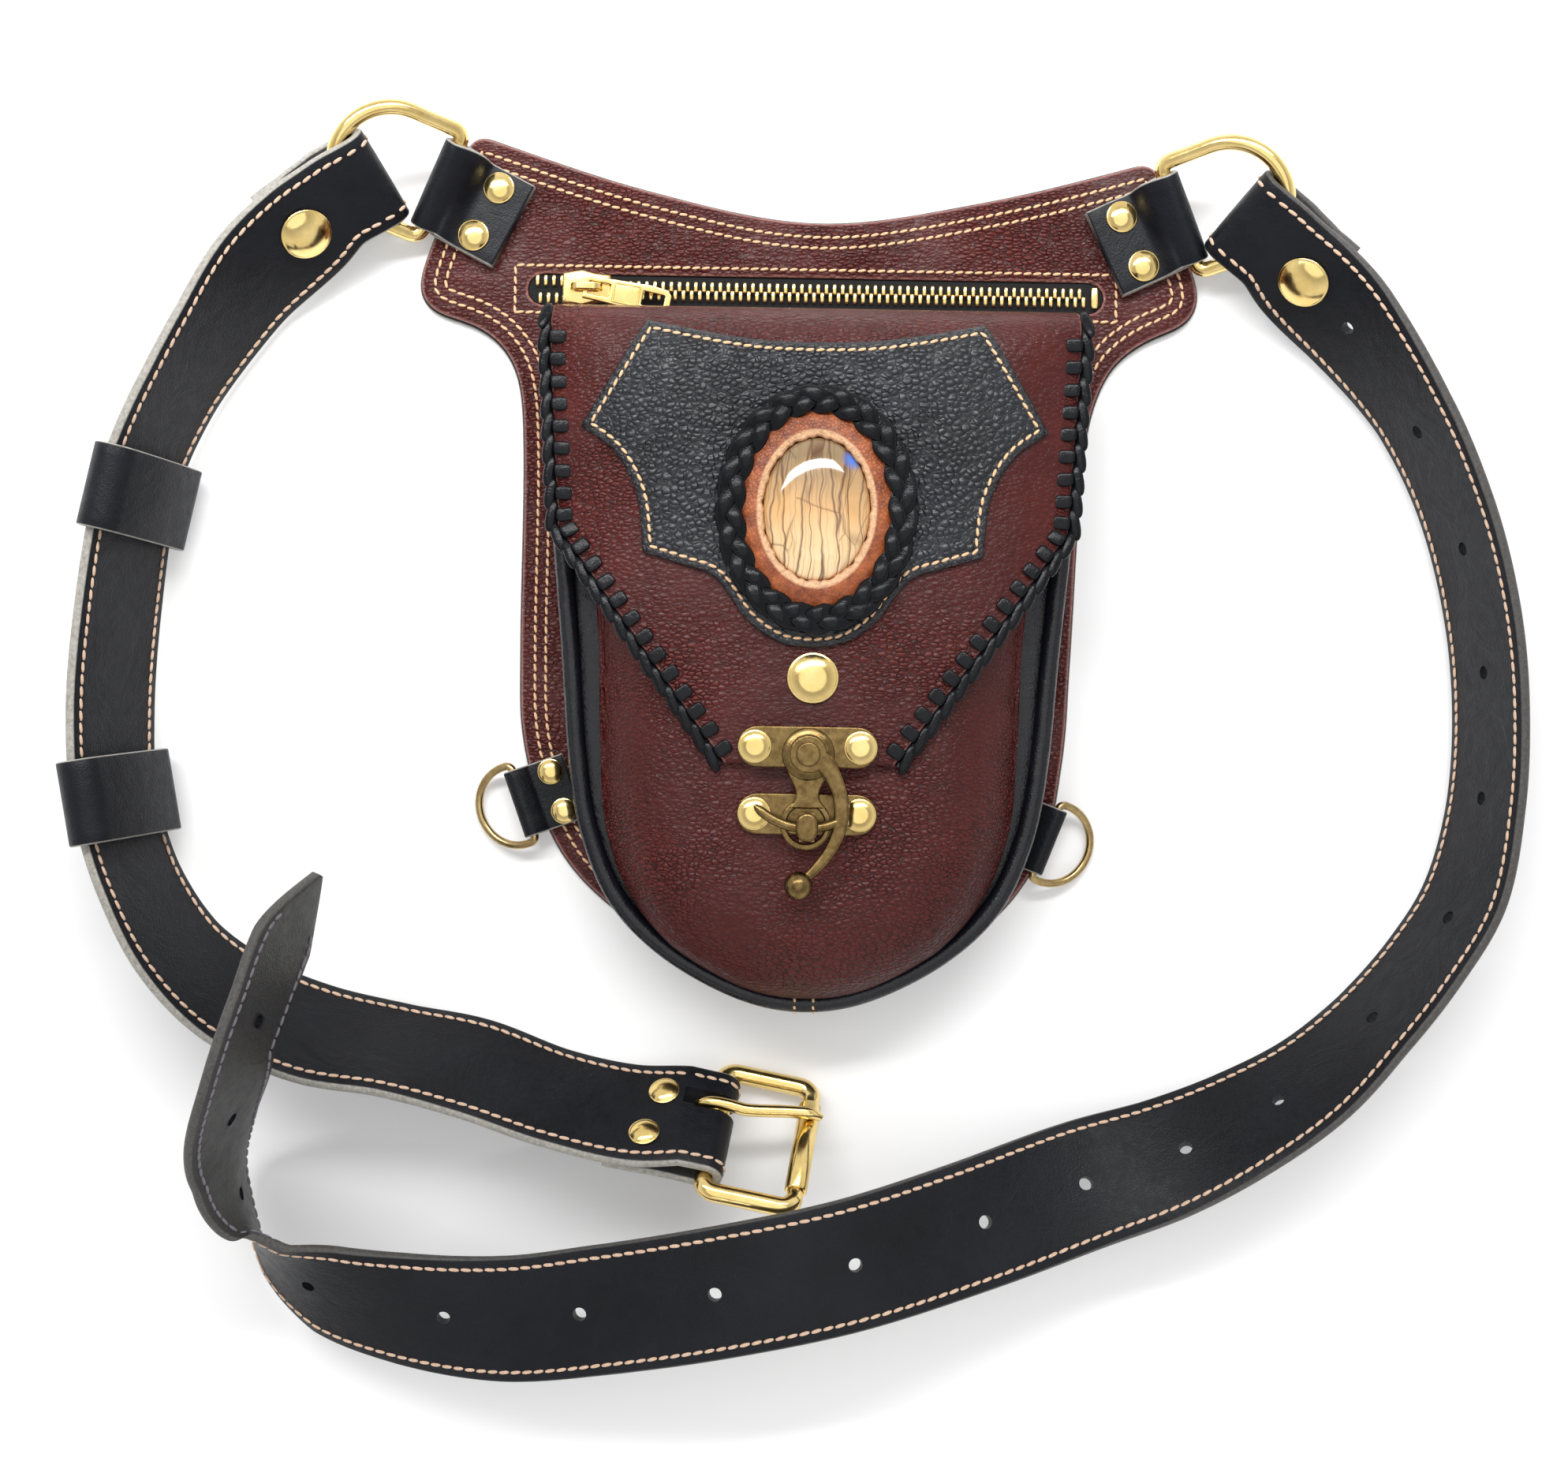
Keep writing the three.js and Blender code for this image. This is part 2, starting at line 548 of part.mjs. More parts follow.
function flapPoint(x, [y, z, share]) {
  return vec(x, y, z - FLAP_DROOP * share * Math.pow(Math.abs(x) / FLAP_HALF, 4));
}

// A row of the flap's run worked out between two rows of its table
function flapRow(y) {
  const below = Math.max(FLAP_ROWS.findIndex((row) => row[0] < y), 4);
  const [a, b] = [FLAP_ROWS[below - 1], FLAP_ROWS[below]];
  const share = (y - a[0]) / (b[0] - a[0]);
  return [y, mix(a[1], b[1], share), mix(a[2], b[2], share)];
}

function flapTop(x, y) {
  return flapPoint(x, flapRow(y)).z + FLAP_THICK / 2;
}

function lacing(name, sign) {
  const ys = [97.6, 96.8, 93.8, 88, 78, 67, 56, 45, 36, 34, 30, 20, 8, -4, -16, -27, FLAP_TIP_Y + 0.6];
  const turn = (y) => 0.63 * (1 - THREE.MathUtils.smoothstep(y, FLAP_SHOULDER_Y - 5, FLAP_SHOULDER_Y + 5));
  const out = (y) => vec(sign * Math.cos(turn(y)), -Math.sin(turn(y)));
  const edge = ys.map((y) => along(flapPoint(sign * flapHalf(y), flapRow(y)),
    [out(y), LACE_RADIUS + 2 * GAP], [UP, LACE_LIFT]));
  const pieces = [tube(edge, LACE_RADIUS, 6)];
  const curve = new THREE.CatmullRomCurve3(edge);
  const count = Math.floor(curve.getLength() / LACE_BAR.pitch);
  for (let i = 1; i < count; i++) {
    const p = curve.getPointAt(i / count);
    if (p.y > LACE_BAR.highest) continue;
    const inward = out(p.y).negate();
    const end = along(p, [inward, LACE_BAR.length]);
    end.z = flapTop(end.x, end.y) + GAP + LACE_BAR.thick / 2;
    const run = curve.getTangentAt(i / count);
    const start = along(p, [UP, LACE_RADIUS]);
    const stations = [start, end].map((q) => ({ p: q, w: run, width: LACE_BAR.width }));
    pieces.push(ribbon(stations, LACE_BAR.thick));
  }
  add(name, joined(pieces), BLACK);
}

function flap() {
  const columns = [-1, -0.9, -0.75, -0.5, 0, 0.5, 0.75, 0.9, 1];
  const grid = FLAP_ROWS.map((row) => columns.map((u) => flapPoint(u * flapHalf(row[0]), row)));
  add("flap", skin(grid, FLAP_THICK), OXBLOOD);
  lacing("lacing_left", -1);
  lacing("lacing_right", 1);

  const xs = [-72, -62, -52, -36, 0, 36, 52, 62, 72];
  const ys = [-3, 34, 78, 83, 88, 93.6];
  const level = (lift) => ys.map((y) => xs.map((x) => vec(x, y, flapTop(x, y) + lift)));
  const sheet = slab(level(2 * GAP + OVERLAY_THICK), level(2 * GAP));
  add("overlay", common(sheet, plate(overlayShape(), 80, 10, 3)), BLACK);
}

function overlayShape() {
  const points = (rows, sign) => rows.map(([x, y]) => new THREE.Vector2(sign * x, y));
  const shape = new THREE.Shape();
  shape.moveTo(...OVERLAY_TOP[0]);
  shape.splineThru(points(OVERLAY_TOP.slice(1), 1));
  shape.lineTo(...OVERLAY_SIDE[0]);
  shape.splineThru(points(OVERLAY_SIDE.slice(1), 1));
  shape.splineThru(points(OVERLAY_FOOT, 1));
  shape.splineThru(points([...OVERLAY_FOOT].reverse().slice(1), -1));
  shape.lineTo(-OVERLAY_SIDE[3][0], OVERLAY_SIDE[3][1]);
  shape.splineThru(points([...OVERLAY_SIDE].reverse().slice(1), -1));
  shape.lineTo(-OVERLAY_TOP[3][0], OVERLAY_TOP[3][1]);
  shape.splineThru(points([...OVERLAY_TOP].reverse().slice(1), -1));
  return shape;
}

function oval(half_x, half_y, z, count) {
  return Array.from({ length: count }, (_, i) => {
    const angle = (2 * Math.PI * i) / count;
    return vec(ORNAMENT.x + half_x * Math.cos(angle), ORNAMENT.y + half_y * Math.sin(angle), z);
  });
}

function ornament() {
  const seat_z = flapTop(0, ORNAMENT.y) + 2 * GAP + OVERLAY_THICK + GAP;
  const braid_line = oval(BRAID.half_x, BRAID.half_y, seat_z + BRAID.radius, 28);
  add("braid_ring", tube(braid_line, BRAID.radius, 6, true), BLACK);
  const { outer_x, outer_y, inner_x, inner_y, height } = BEZEL;
  const section = [[1, 0], [1, height * 0.4], [0.45, height], [0.1, height * 0.9], [0, height * 0.6], [0, 0]];
  const layers = section.map(([share, z]) => oval(mix(inner_x, outer_x, share), mix(inner_y, outer_y, share),
    seat_z + z, 28));
  const rings = layers[0].map((_, i) => layers.map((layer) => layer[i]));
  add("bezel", loft(rings, { closed: true }), TAN);
  const { half_x, half_y, girdle, dome } = STONE;
  const stone = turned([[0, 0], [1, 0], [1, girdle], [0.9, girdle + dome * 0.4], [0.7, girdle + dome * 0.74],
    [0.4, girdle + dome * 0.94], [0, girdle + dome]], 24).scale(half_x, half_y, 1);
  add("stone", stone.translate(ORNAMENT.x, ORNAMENT.y, seat_z), STONE_FACE);
  seat(add("flap_snap", cap(7.25, 2.2), BRASS), vec(0.6, -8.3, flapTop(0.6, -8.3) + GAP), UP);
}

// Swing clasp
function clasp() {
  const upper_z = flapTop(0, FLAP_TIP_Y + 9) + GAP;
  const lower_z = FRONT_TOP + FRONT_THICK / 2 + GAP;
  const top = upper_z + CLASP_PLATE.thick;
  const rivet_height = 1.5;
  const boss_top = top + rivet_height + GAP;
  const lever_z = boss_top + GAP;

  const eye = new THREE.Shape().absarc(CLASP_EYE.x, CLASP_EYE.y, CLASP_EYE.outer, 0, 2 * Math.PI);
  eye.holes.push(new THREE.Path().absarc(CLASP_EYE.x, CLASP_EYE.y, CLASP_EYE.hole, 0, 2 * Math.PI));
  const neck = new THREE.BoxGeometry(6.2, 10.5, CLASP_PLATE.thick)
    .translate(CLASP_UPPER.x, CLASP_UPPER.y - 10, upper_z + CLASP_PLATE.thick / 2);
  const boss = turned([[0, 0], [6.2, 0], [5.6, boss_top - upper_z], [0, boss_top - upper_z]], 12)
    .translate(CLASP_PIVOT.x, CLASP_PIVOT.y, upper_z);
  const pin_top = LEVER_THICK + 2 * GAP;
  const pin_line = [
    [0, -2], [2.2, -2], [2.2, pin_top], [3.4, pin_top], [2.6, pin_top + 1], [0, pin_top + 1.3],
  ];
  const pin = turned(pin_line, 12).translate(CLASP_PIVOT.x, CLASP_PIVOT.y, boss_top);
  const upper = plate(stadium(CLASP_PLATE.length, CLASP_PLATE.width), CLASP_PLATE.thick, upper_z, 5)
    .translate(CLASP_UPPER.x, CLASP_UPPER.y, 0);
  const eye_plate = plate(eye, CLASP_PLATE.thick, upper_z, 7);
  add("clasp_upper_plate", joined([upper, eye_plate, neck, boss, pin]), OLD_BRASS);

  const lower = plate(stadium(CLASP_PLATE.length, CLASP_PLATE.width), CLASP_PLATE.thick, lower_z, 5)
    .translate(CLASP_LOWER.x, CLASP_LOWER.y, 0);
  const post_height = lever_z + LEVER_THICK + 1.6 - lower_z;
  const post_bar = plate(stadium(CLASP_POST.length, CLASP_POST.width), post_height, lower_z, 5);
  const post = post_bar.rotateZ(Math.PI / 2).translate(CLASP_POST.x, CLASP_POST.y, 0);
  const hole = new THREE.BoxGeometry(CLASP_POST.width + 2, LEVER_PIN.width + 2.2, LEVER_THICK + 2 * GAP)
    .translate(CLASP_POST.x, CLASP_PIVOT.y - LEVER_PIN.radius + 0.2, lever_z + LEVER_THICK / 2);
  add("clasp_lower_plate", cut(joined([lower, post]), [hole]), OLD_BRASS);

  add("clasp_lever", lever(lever_z), OLD_BRASS);

  const rivets = [[-1, CLASP_UPPER, top], [1, CLASP_UPPER, top],
    [-1, CLASP_LOWER, lower_z + CLASP_PLATE.thick], [1, CLASP_LOWER, lower_z + CLASP_PLATE.thick]];
  rivets.forEach(([sign, { x, y }, z], i) => {
    const rivet = add("clasp_rivet_" + (i + 1), cap(4.4, rivet_height), BRASS);
    seat(rivet, vec(x + sign * CLASP_RIVET_REACH, y, z + 0.2), UP);
  });
}

function lever(bottom) {
  const hub = new THREE.Shape().absarc(0, 0, 5.3, 0, 2 * Math.PI);
  hub.holes.push(new THREE.Path().absarc(0, 0, 2.2 + GAP, 0, 2 * Math.PI));
  const arm_line = [[3.4, -1.5], [8, -6.5], [9.6, -13], [9, -20], [6, -27], [2, -32], [-1.6, -35.4]];
  const arm_width = [2.6, 3.2, 3.2, 3.2, 3, 2.6, 2.4];
  const stations = arm_line.map(([x, y], i) => {
    const [a, b] = [arm_line[Math.max(i - 1, 0)], arm_line[Math.min(i + 1, arm_line.length - 1)]];
    const across = vec(a[1] - b[1], b[0] - a[0]).normalize();
    return { p: vec(x, y, LEVER_THICK / 2), w: across, width: arm_width[i] };
  });
  const { radius, width, from, to } = LEVER_PIN;
  const [start, end] = [from, to].map(THREE.MathUtils.degToRad);
  const pin = new THREE.Shape().absarc(0, 0, radius + width / 2, start, end, false);
  pin.absarc(0, 0, radius - width / 2, end, start, true);
  const ball = new THREE.SphereGeometry(3.4, 8, 6).translate(-2.2, -36, LEVER_THICK / 2 + 0.4);
  const [ring, catch_pin] = [hub, pin].map((shape) => plate(shape, LEVER_THICK, 0, 8));
  const pieces = [ring, ribbon(stations, LEVER_THICK), catch_pin, ball];
  return joined(pieces).translate(CLASP_PIVOT.x, CLASP_PIVOT.y, bottom);
}

// Rings: a straight bar, two straight sides and a round end, in the plane of the two directions given
function ringPath(centre, across, outward, { bar, side }, count) {
  const r = bar / 2;
  const path = [along(centre, [across, -r]), along(centre, [across, 0]), along(centre, [across, r])];
  for (let i = 0; i <= count; i++) {
    const angle = (Math.PI * i) / count;
    path.push(along(centre, [across, r * Math.cos(angle)], [outward, side + r * Math.sin(angle)]));
  }
  return path;
}

// A top ring's directions: the belt's way, its leaning width, the ring's own two and its arc's middle
function ringFrame({ bar, heading: way, turn, lean, side }) {
  const t = heading(way);
  const flat = vec(t.y, -t.x).multiplyScalar(side);
  const tip = THREE.MathUtils.degToRad(lean);
  const w = along(vec(0, 0), [flat, Math.cos(tip)], [UP, Math.sin(tip)]);
  const n = side > 0 ? w.clone().cross(t) : t.clone().cross(w);
  const angle = THREE.MathUtils.degToRad(turn);
  const outward = along(vec(0, 0), [t, Math.cos(angle)], [w, Math.sin(angle)]);
  const across = along(vec(0, 0), [t, -Math.sin(angle)], [w, Math.cos(angle)]);
  const middle = vec(...bar);
  return { t, w, n, outward, across, middle, arc: along(middle, [outward, TOP_RING.side]) };
}

// A tab folded round a ring's bar and laid on the panel: reach from the bar, height there, lean
function topTab(name, ring) {
  const { across, middle } = ringFrame(ring);
  const flat = vec(across.x, across.y).normalize();
  const lean = Math.asin(across.z);
  const inward = vec(flat.y, -flat.x).multiplyScalar(ring.side);
  const fold = TOP_RING.wire + 2 * GAP + TOP_TAB.ply / 2;
  const lower = PANEL_TOP + GAP + TOP_TAB.ply / 2;
  const upper = lower + GAP + TOP_TAB.ply;
  const station = ([reach, z, share]) => {
    const p = along(middle, [inward, reach]);
    p.z = z;
    const w = along(vec(0, 0), [flat, Math.cos(lean * share)], [UP, Math.sin(lean * share)]);
    return { p, w, width: TOP_TAB.width };
  };
  const under = [[TOP_TAB.reach, lower, 0], [12, lower, 0], [8, lower + 0.9, 0.1], [4.3, lower + 2.2, 0.45]];
  const over = [[5, mix(upper, middle.z + fold, 0.62), 0.85], [9.5, upper, 0], [TOP_TAB.reach, upper, 0]];
  const rise = across.clone().cross(inward);
  if (rise.z < 0) rise.negate();
  const turn = Array.from({ length: 7 }, (_, i) => {
    const angle = Math.PI * (1.5 - i / 6);
    const p = along(middle, [inward, fold * Math.cos(angle)], [rise, fold * Math.sin(angle)]);
    return { p, w: across, width: TOP_TAB.width };
  });
  add(name, ribbon([...under.map(station), ...turn, ...over.map(station)], TOP_TAB.ply), BLACK);
  return { flat, inward, middle, top: upper + TOP_TAB.ply / 2 };
}

function topRings() {
  for (const [where, ring] of [["left", RING_LEFT], ["right", RING_RIGHT]]) {
    const { across, outward, middle } = ringFrame(ring);
    const wire_line = ringPath(middle, across, outward, TOP_RING, 14);
    add("top_ring_" + where, tube(wire_line, TOP_RING.wire, 6, true), BRASS);
    const tab = topTab("top_tab_" + where, ring);
    [8, -8].forEach((offset, i) => {
      const p = along(vec(tab.middle.x, tab.middle.y, tab.top + GAP), [tab.inward, 14.6], [tab.flat, offset]);
      seat(add("top_rivet_" + where + "_" + (i + 1), cap(4.7, 1.8), BRASS), p, UP);
    });
  }
}

// A side tab folded round its small ring's bar, flat on the panel, and the ring drooping to the surface
function sideRings() {
  for (const [where, { fold, inward: way, reach: end, rivets }] of Object.entries(SIDE_TABS)) {
    const inward = heading(way);
    const w = vec(-inward.y, inward.x);
    const turn_radius = SIDE_RING.wire + GAP + SIDE_TAB.ply / 2;
    const outer = turn_radius + SIDE_TAB.ply / 2;
    const lower = PANEL_TOP + GAP + SIDE_TAB.ply / 2;
    const upper = lower + GAP + SIDE_TAB.ply;
    const middle = along(vec(...fold, 0), [inward, outer], [UP, lower + turn_radius]);
    const rows = [[end, lower]];
    for (let i = 0; i <= 4; i++) {
      const angle = Math.PI * (1.5 - i / 4);
      rows.push([turn_radius * Math.cos(angle), middle.z + turn_radius * Math.sin(angle)]);
    }
    rows.push([2.8, mix(upper, middle.z + turn_radius, 0.5)], [4.7, upper], [end, upper]);
    const stations = rows.map(([reach, z]) => {
      const p = along(middle, [inward, reach]);
      p.z = z;
      return { p, w, width: SIDE_TAB.width };
    });
    add("side_tab_" + where, ribbon(stations, SIDE_TAB.ply), BLACK);

    const depth = SIDE_RING.side + SIDE_RING.bar / 2;
    const drop = Math.asin((middle.z - SIDE_RING.wire - GAP) / depth);
    const outward = along(vec(0, 0), [inward, -Math.cos(drop)], [UP, -Math.sin(drop)]);
    const wire_line = ringPath(middle, w, outward, SIDE_RING, 12);
    add("side_ring_" + where, tube(wire_line, SIDE_RING.wire, 6, true), OLD_BRASS);
    [6.2, -6.2].forEach((offset, i) => {
      const p = along(middle, [inward, rivets], [w, offset]);
      p.z = upper + SIDE_TAB.ply / 2 + GAP;
      seat(add("side_rivet_" + where + "_" + (i + 1), cap(3.9, 1.5), BRASS), p, UP);
    });
  }
}

// The belt: its run is a smooth curve through the rows, leaning and widening as they say
function beltRun(rows, side) {
  const middle = new THREE.CatmullRomCurve3(rows.map(([x, y, z]) => vec(x, y, z)));
  const manner = new THREE.CatmullRomCurve3(rows.map(([, , , lean, width]) => vec(lean, width)));
  const at = (share) => {
    const p = middle.getPoint(share);
    const tangent = middle.getTangent(share);
    const { x: lean, y: width } = manner.getPoint(share);
    const flat = vec(tangent.y, -tangent.x).normalize().multiplyScalar(side);
    const tip = THREE.MathUtils.degToRad(lean);
    const w = along(vec(0, 0), [flat, Math.cos(tip)], [UP, Math.sin(tip)]);
    w.addScaledVector(tangent, -w.dot(tangent)).normalize();
    const n = side > 0 ? w.clone().cross(tangent) : tangent.clone().cross(w);
    return { p, w, n, tangent, width: Math.min(width, STRAP_WIDTH) };
  };
  return { middle, at, step: 1 / (rows.length - 1) };
}

// The two rows that carry the belt over its ring, ahead of the rows of its table
function ringRows(ring) {
  const { t, w, n, arc } = ringFrame(ring);
  const lift = TOP_RING.wire + GAP + STRAP_THICK / 2;
  return [11, 19.5].map((reach) => {
    const p = along(arc, [t, reach], [n, lift], [w, ring.off]);
    return [p.x, p.y, p.z, ring.lean, STRAP_END_WIDTH];
  });
}

// The turned-under end: below the snap, back to the ring, round inside it and up to where the run begins
function ringFold(ring, run) {
  const { t, w, n, arc } = ringFrame(ring);
  const lift = TOP_RING.wire + GAP + STRAP_THICK / 2;
  const under = [2.3, 2, 1.7].map((row) => {
    const { p, w: across, n: up, width } = run.at(row * run.step);
    return { p: along(p, [up, -STRAP_THICK - GAP]), w: across, width: width - 0.6 };
  });
  const fold = (reach, height) => ({
    p: along(arc, [t, reach], [n, height], [w, ring.off]), w, width: STRAP_END_WIDTH,
  });
  const centre = 7.6;
  const turn = Array.from({ length: 5 }, (_, i) => {
    const angle = Math.PI * (1.5 - i / 4);
    return fold(centre + lift * Math.cos(angle), lift * Math.sin(angle));
  });
  return [...under, fold(19.5, -lift), ...turn];
}

// The belt's left half, its end under the buckle, and the fold as two tongues beside the prong
function strapLeft() {
  const { t, w, n, middle } = buckleFrame();
  const lift = BUCKLE.wire + GAP + STRAP_THICK / 2;
  const arrival = along(middle, [t, -9], [n, lift]);
  const last = [...arrival.toArray(), BUCKLE_BAR.lean, BUCKLE.strap];
  const rows = [...ringRows(RING_LEFT), ...STRAP_LEFT_ROWS, last];
  const run = beltRun(rows, 1);
  const count = 2 * rows.length;
  const main = Array.from({ length: count + 1 }, (_, i) => run.at(i / count));
  const fold = (reach, height) => ({ p: along(middle, [t, reach], [n, height]), w, width: BUCKLE.strap });
  const turn = Array.from({ length: 7 }, (_, i) => {
    const angle = Math.PI * (0.5 - i / 6);
    return fold(lift * Math.cos(angle), lift * Math.sin(angle));
  });
  const below = (back, drop) => {
    const { p, w: across, n: up, width } = run.at(1 - back * run.step);
    return { p: along(p, [up, -STRAP_THICK - GAP - drop]), w: across, width: Math.min(width, BUCKLE.strap) };
  };
  const under = [fold(-9, -lift + 0.4), below(0.55, 1.6), below(0.9, 0.5), below(1.25, 0.1)];
  const band = ribbon([...ringFold(RING_LEFT, run), ...main, ...turn, ...under], STRAP_THICK);
  const block = (from, to, low, high) => {
    const box = new THREE.BoxGeometry(to - from, high - low, 4 * lift);
    box.applyMatrix4(new THREE.Matrix4().makeBasis(t, w, t.clone().cross(w)));
    return box.translate(...along(middle, [t, (from + to) / 2], [w, (low + high) / 2]).toArray());
  };
  const half = BUCKLE.strap / 2 + 1;
  const slot = BUCKLE.prong / 2 + 1.2;
  const front = lift + STRAP_THICK;
  const [run_part, end_part] = solidOf(cut(band, [block(-FOLD_REACH - GAP, front, -half, half)])).decompose()
    .sort((a, b) => b.volume() - a.volume());
  add("strap_left", geometryFrom(run_part), BLACK);
  add("strap_left_end", geometryFrom(end_part), BLACK);
  add("buckle_fold_inner", common(band, block(-FOLD_REACH, front, -half, PRONG_OFF - slot)), BLACK);
  add("buckle_fold_outer", common(band, block(-FOLD_REACH, front, PRONG_OFF + slot, half)), BLACK);
  const snap = run.at(2 * run.step);
  const snap_at = along(snap.p, [snap.n, STRAP_THICK / 2 + SNAP_SEAT]);
  seat(add("strap_snap_left", cap(7.6, 2.4), BRASS), snap_at, snap.n);

  [[0.43, -7.5], [0.7, 7.5]].forEach(([back, offset], i) => {
    const { p, w: across, n: face } = run.at(1 - back * run.step);
    const place = along(p, [across, offset], [face, STRAP_THICK / 2 + 2 * GAP]);
    seat(add("buckle_rivet_" + (i + 1), cap(4.6, 1.6), BRASS), place, face);
  });
  keeper("keeper_upper", run, 7);
  keeper("keeper_lower", run, 10);
}

// A loop of leather round the belt at one of its rows, with room for the other end on its face
function keeper(name, run, row) {
  const { p, w, n, tangent } = run.at(row * run.step);
  const back = STRAP_THICK / 2 + KEEPER.slack + KEEPER.wall;
  const face = STRAP_THICK / 2 + KEEPER.room + KEEPER.wall;
  const centre = along(p, [n, (face - back) / 2]);
  const outer = rounded(KEEPER.across + 2 * KEEPER.wall, face + back, KEEPER.corner);
  const inner = rounded(KEEPER.across, face + back - 2 * KEEPER.wall, KEEPER.corner - KEEPER.wall);
  outer.holes.push(new THREE.Path(inner.getPoints(3)));
  const loop = plate(outer, KEEPER.length, -KEEPER.length / 2, 3);
  loop.applyMatrix4(new THREE.Matrix4().makeBasis(w, tangent.clone().cross(w), tangent));
  add(name, loop.translate(...centre.toArray()), BLACK);
}

function strapRight() {
  const [x, y, z, lean, width] = STRAP_TIP;
  const rows = [...ringRows(RING_RIGHT), ...STRAP_RIGHT_ROWS, [x, y, z, lean, width]];
  const run = beltRun(rows, -1);
  const stations = Math.round(1.7 * rows.length);
  const taper = 1 - run.step;
  const main = Array.from({ length: stations + 1 }, (_, i) => run.at(i / stations)).map((station, i) => {
    const share = Math.max(0, i / stations - taper) / run.step;
    return { ...station, width: share > 0 ? mix(STRAP_WIDTH, width, share) : station.width };
  });
  const band = ribbon([...ringFold(RING_RIGHT, run), ...main], STRAP_THICK);
  const length = run.middle.getLength();
  const reaches = HOLE_ROWS.flatMap(
    ([from, pitch, count]) => Array.from({ length: count }, (_, i) => from + i * pitch),
  );
  const holes = reaches.map((reach) => {
    const { p, n } = run.at(run.middle.getUtoTmapping(reach / length));
    const hole = new THREE.CylinderGeometry(HOLE_RADIUS, HOLE_RADIUS, 3 * STRAP_THICK, 6);
    hole.rotateX(Math.PI / 2).applyQuaternion(new THREE.Quaternion().setFromUnitVectors(UP, n));
    return hole.translate(...p.toArray());
  });
  add("strap_right", cut(band, holes), BLACK);
  const snap = run.at(2 * run.step);
  const snap_at = along(snap.p, [snap.n, STRAP_THICK / 2 + SNAP_SEAT]);
  seat(add("strap_snap_right", cap(7.6, 2.4), BRASS), snap_at, snap.n);
}

// Buckle: bar in the belt's fold, frame beyond it, roller on the far side and a prong on the bar
const PRONG_OFF = -6;

function buckleFrame() {
  const { x, y, z, heading: way, lean } = BUCKLE_BAR;
  const t = heading(way);
  const tip = THREE.MathUtils.degToRad(lean);
  const w = along(vec(0, 0), [vec(t.y, -t.x), Math.cos(tip)], [UP, Math.sin(tip)]);
  return { t, w, n: w.clone().cross(t), middle: vec(x, y, z) };
}

function buckle() {
  const { t, w, n, middle } = buckleFrame();
  const { half, reach, wire, corner, roller, span, prong } = BUCKLE;
  const at = (a, b) => along(middle, [t, a], [w, b]);
  const path = [];
  const corners = [[0, -half, 180], [reach, -half, 270], [reach, half, 0], [0, half, 90]];
  for (const [a, b, from] of corners) {
    const centre = [a === 0 ? corner : reach - corner, b < 0 ? b + corner : b - corner];
    for (let i = 0; i <= 3; i++) {
      const angle = THREE.MathUtils.degToRad(from + 30 * i);
      path.push(at(centre[0] + corner * Math.cos(angle), centre[1] + corner * Math.sin(angle)));
    }
  }
  add("buckle_frame", tube(path, wire, 8, true), BRASS);

  const sleeve = new THREE.Shape().absarc(0, 0, roller, 0, 2 * Math.PI);
  sleeve.holes.push(new THREE.Path().absarc(0, 0, wire + GAP, 0, 2 * Math.PI));
    const tubeGeometry = plate(sleeve, span, -span / 2, 6);
  tubeGeometry.applyMatrix4(new THREE.Matrix4().makeBasis(t, n, t.clone().cross(n)));
  add("buckle_roller", tubeGeometry.translate(...at(reach, 0).toArray()), BRASS);

  const collar = new THREE.Shape().absarc(0, 0, wire + GAP + 1.4, 0, 2 * Math.PI);
  collar.holes.push(new THREE.Path().absarc(0, 0, wire + GAP, 0, 2 * Math.PI));
  const hub = plate(collar, prong, -prong / 2, 6);
  const basis = new THREE.Matrix4().makeBasis(t, n, t.clone().cross(n));
  hub.applyMatrix4(basis).translate(...at(0, PRONG_OFF).toArray());
  const rest = roller + GAP + prong / 2;
  const run = [
    [1.2, wire + GAP + 0.9], [8, wire + 2], [reach - 6, rest], [reach, rest], [reach + 3.2, rest - 1.2],
  ];
  const stations = run.map(([a, height], i) => ({
    p: along(at(a, PRONG_OFF - a * 0.12), [n, height]), w, width: i === run.length - 1 ? prong * 0.6 : prong,
  }));
  add("buckle_prong", joined([hub, ribbon(stations, prong * 0.8)]), BRASS);
}

back();
zip();
pouch();
flap();
ornament();
clasp();
topRings();
sideRings();
strapLeft();
strapRight();
buckle();

export default bag;
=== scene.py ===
"""The looks of a leather hip bag with a two-part belt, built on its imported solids."""

import logging
import math
from dataclasses import dataclass
from enum import Enum
from functools import cached_property
from typing import Callable, Optional, Sequence

import bpy
import numpy as np
from mathutils import Matrix
from mathutils.geometry import delaunay_2d_cdt


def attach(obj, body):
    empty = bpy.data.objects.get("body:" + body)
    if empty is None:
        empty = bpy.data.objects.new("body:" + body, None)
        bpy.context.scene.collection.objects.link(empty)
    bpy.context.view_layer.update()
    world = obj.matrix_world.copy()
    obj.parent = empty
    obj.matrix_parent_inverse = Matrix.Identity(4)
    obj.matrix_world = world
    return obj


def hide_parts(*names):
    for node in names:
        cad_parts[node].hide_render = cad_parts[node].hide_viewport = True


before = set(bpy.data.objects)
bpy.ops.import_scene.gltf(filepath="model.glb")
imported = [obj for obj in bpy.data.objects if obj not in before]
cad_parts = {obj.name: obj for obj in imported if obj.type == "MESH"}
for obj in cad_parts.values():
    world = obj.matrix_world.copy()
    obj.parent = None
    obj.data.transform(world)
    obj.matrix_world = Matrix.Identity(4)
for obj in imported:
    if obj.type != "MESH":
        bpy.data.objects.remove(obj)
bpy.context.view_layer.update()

Array = np.ndarray
Socket = bpy.types.NodeSocket
Material = bpy.types.Material

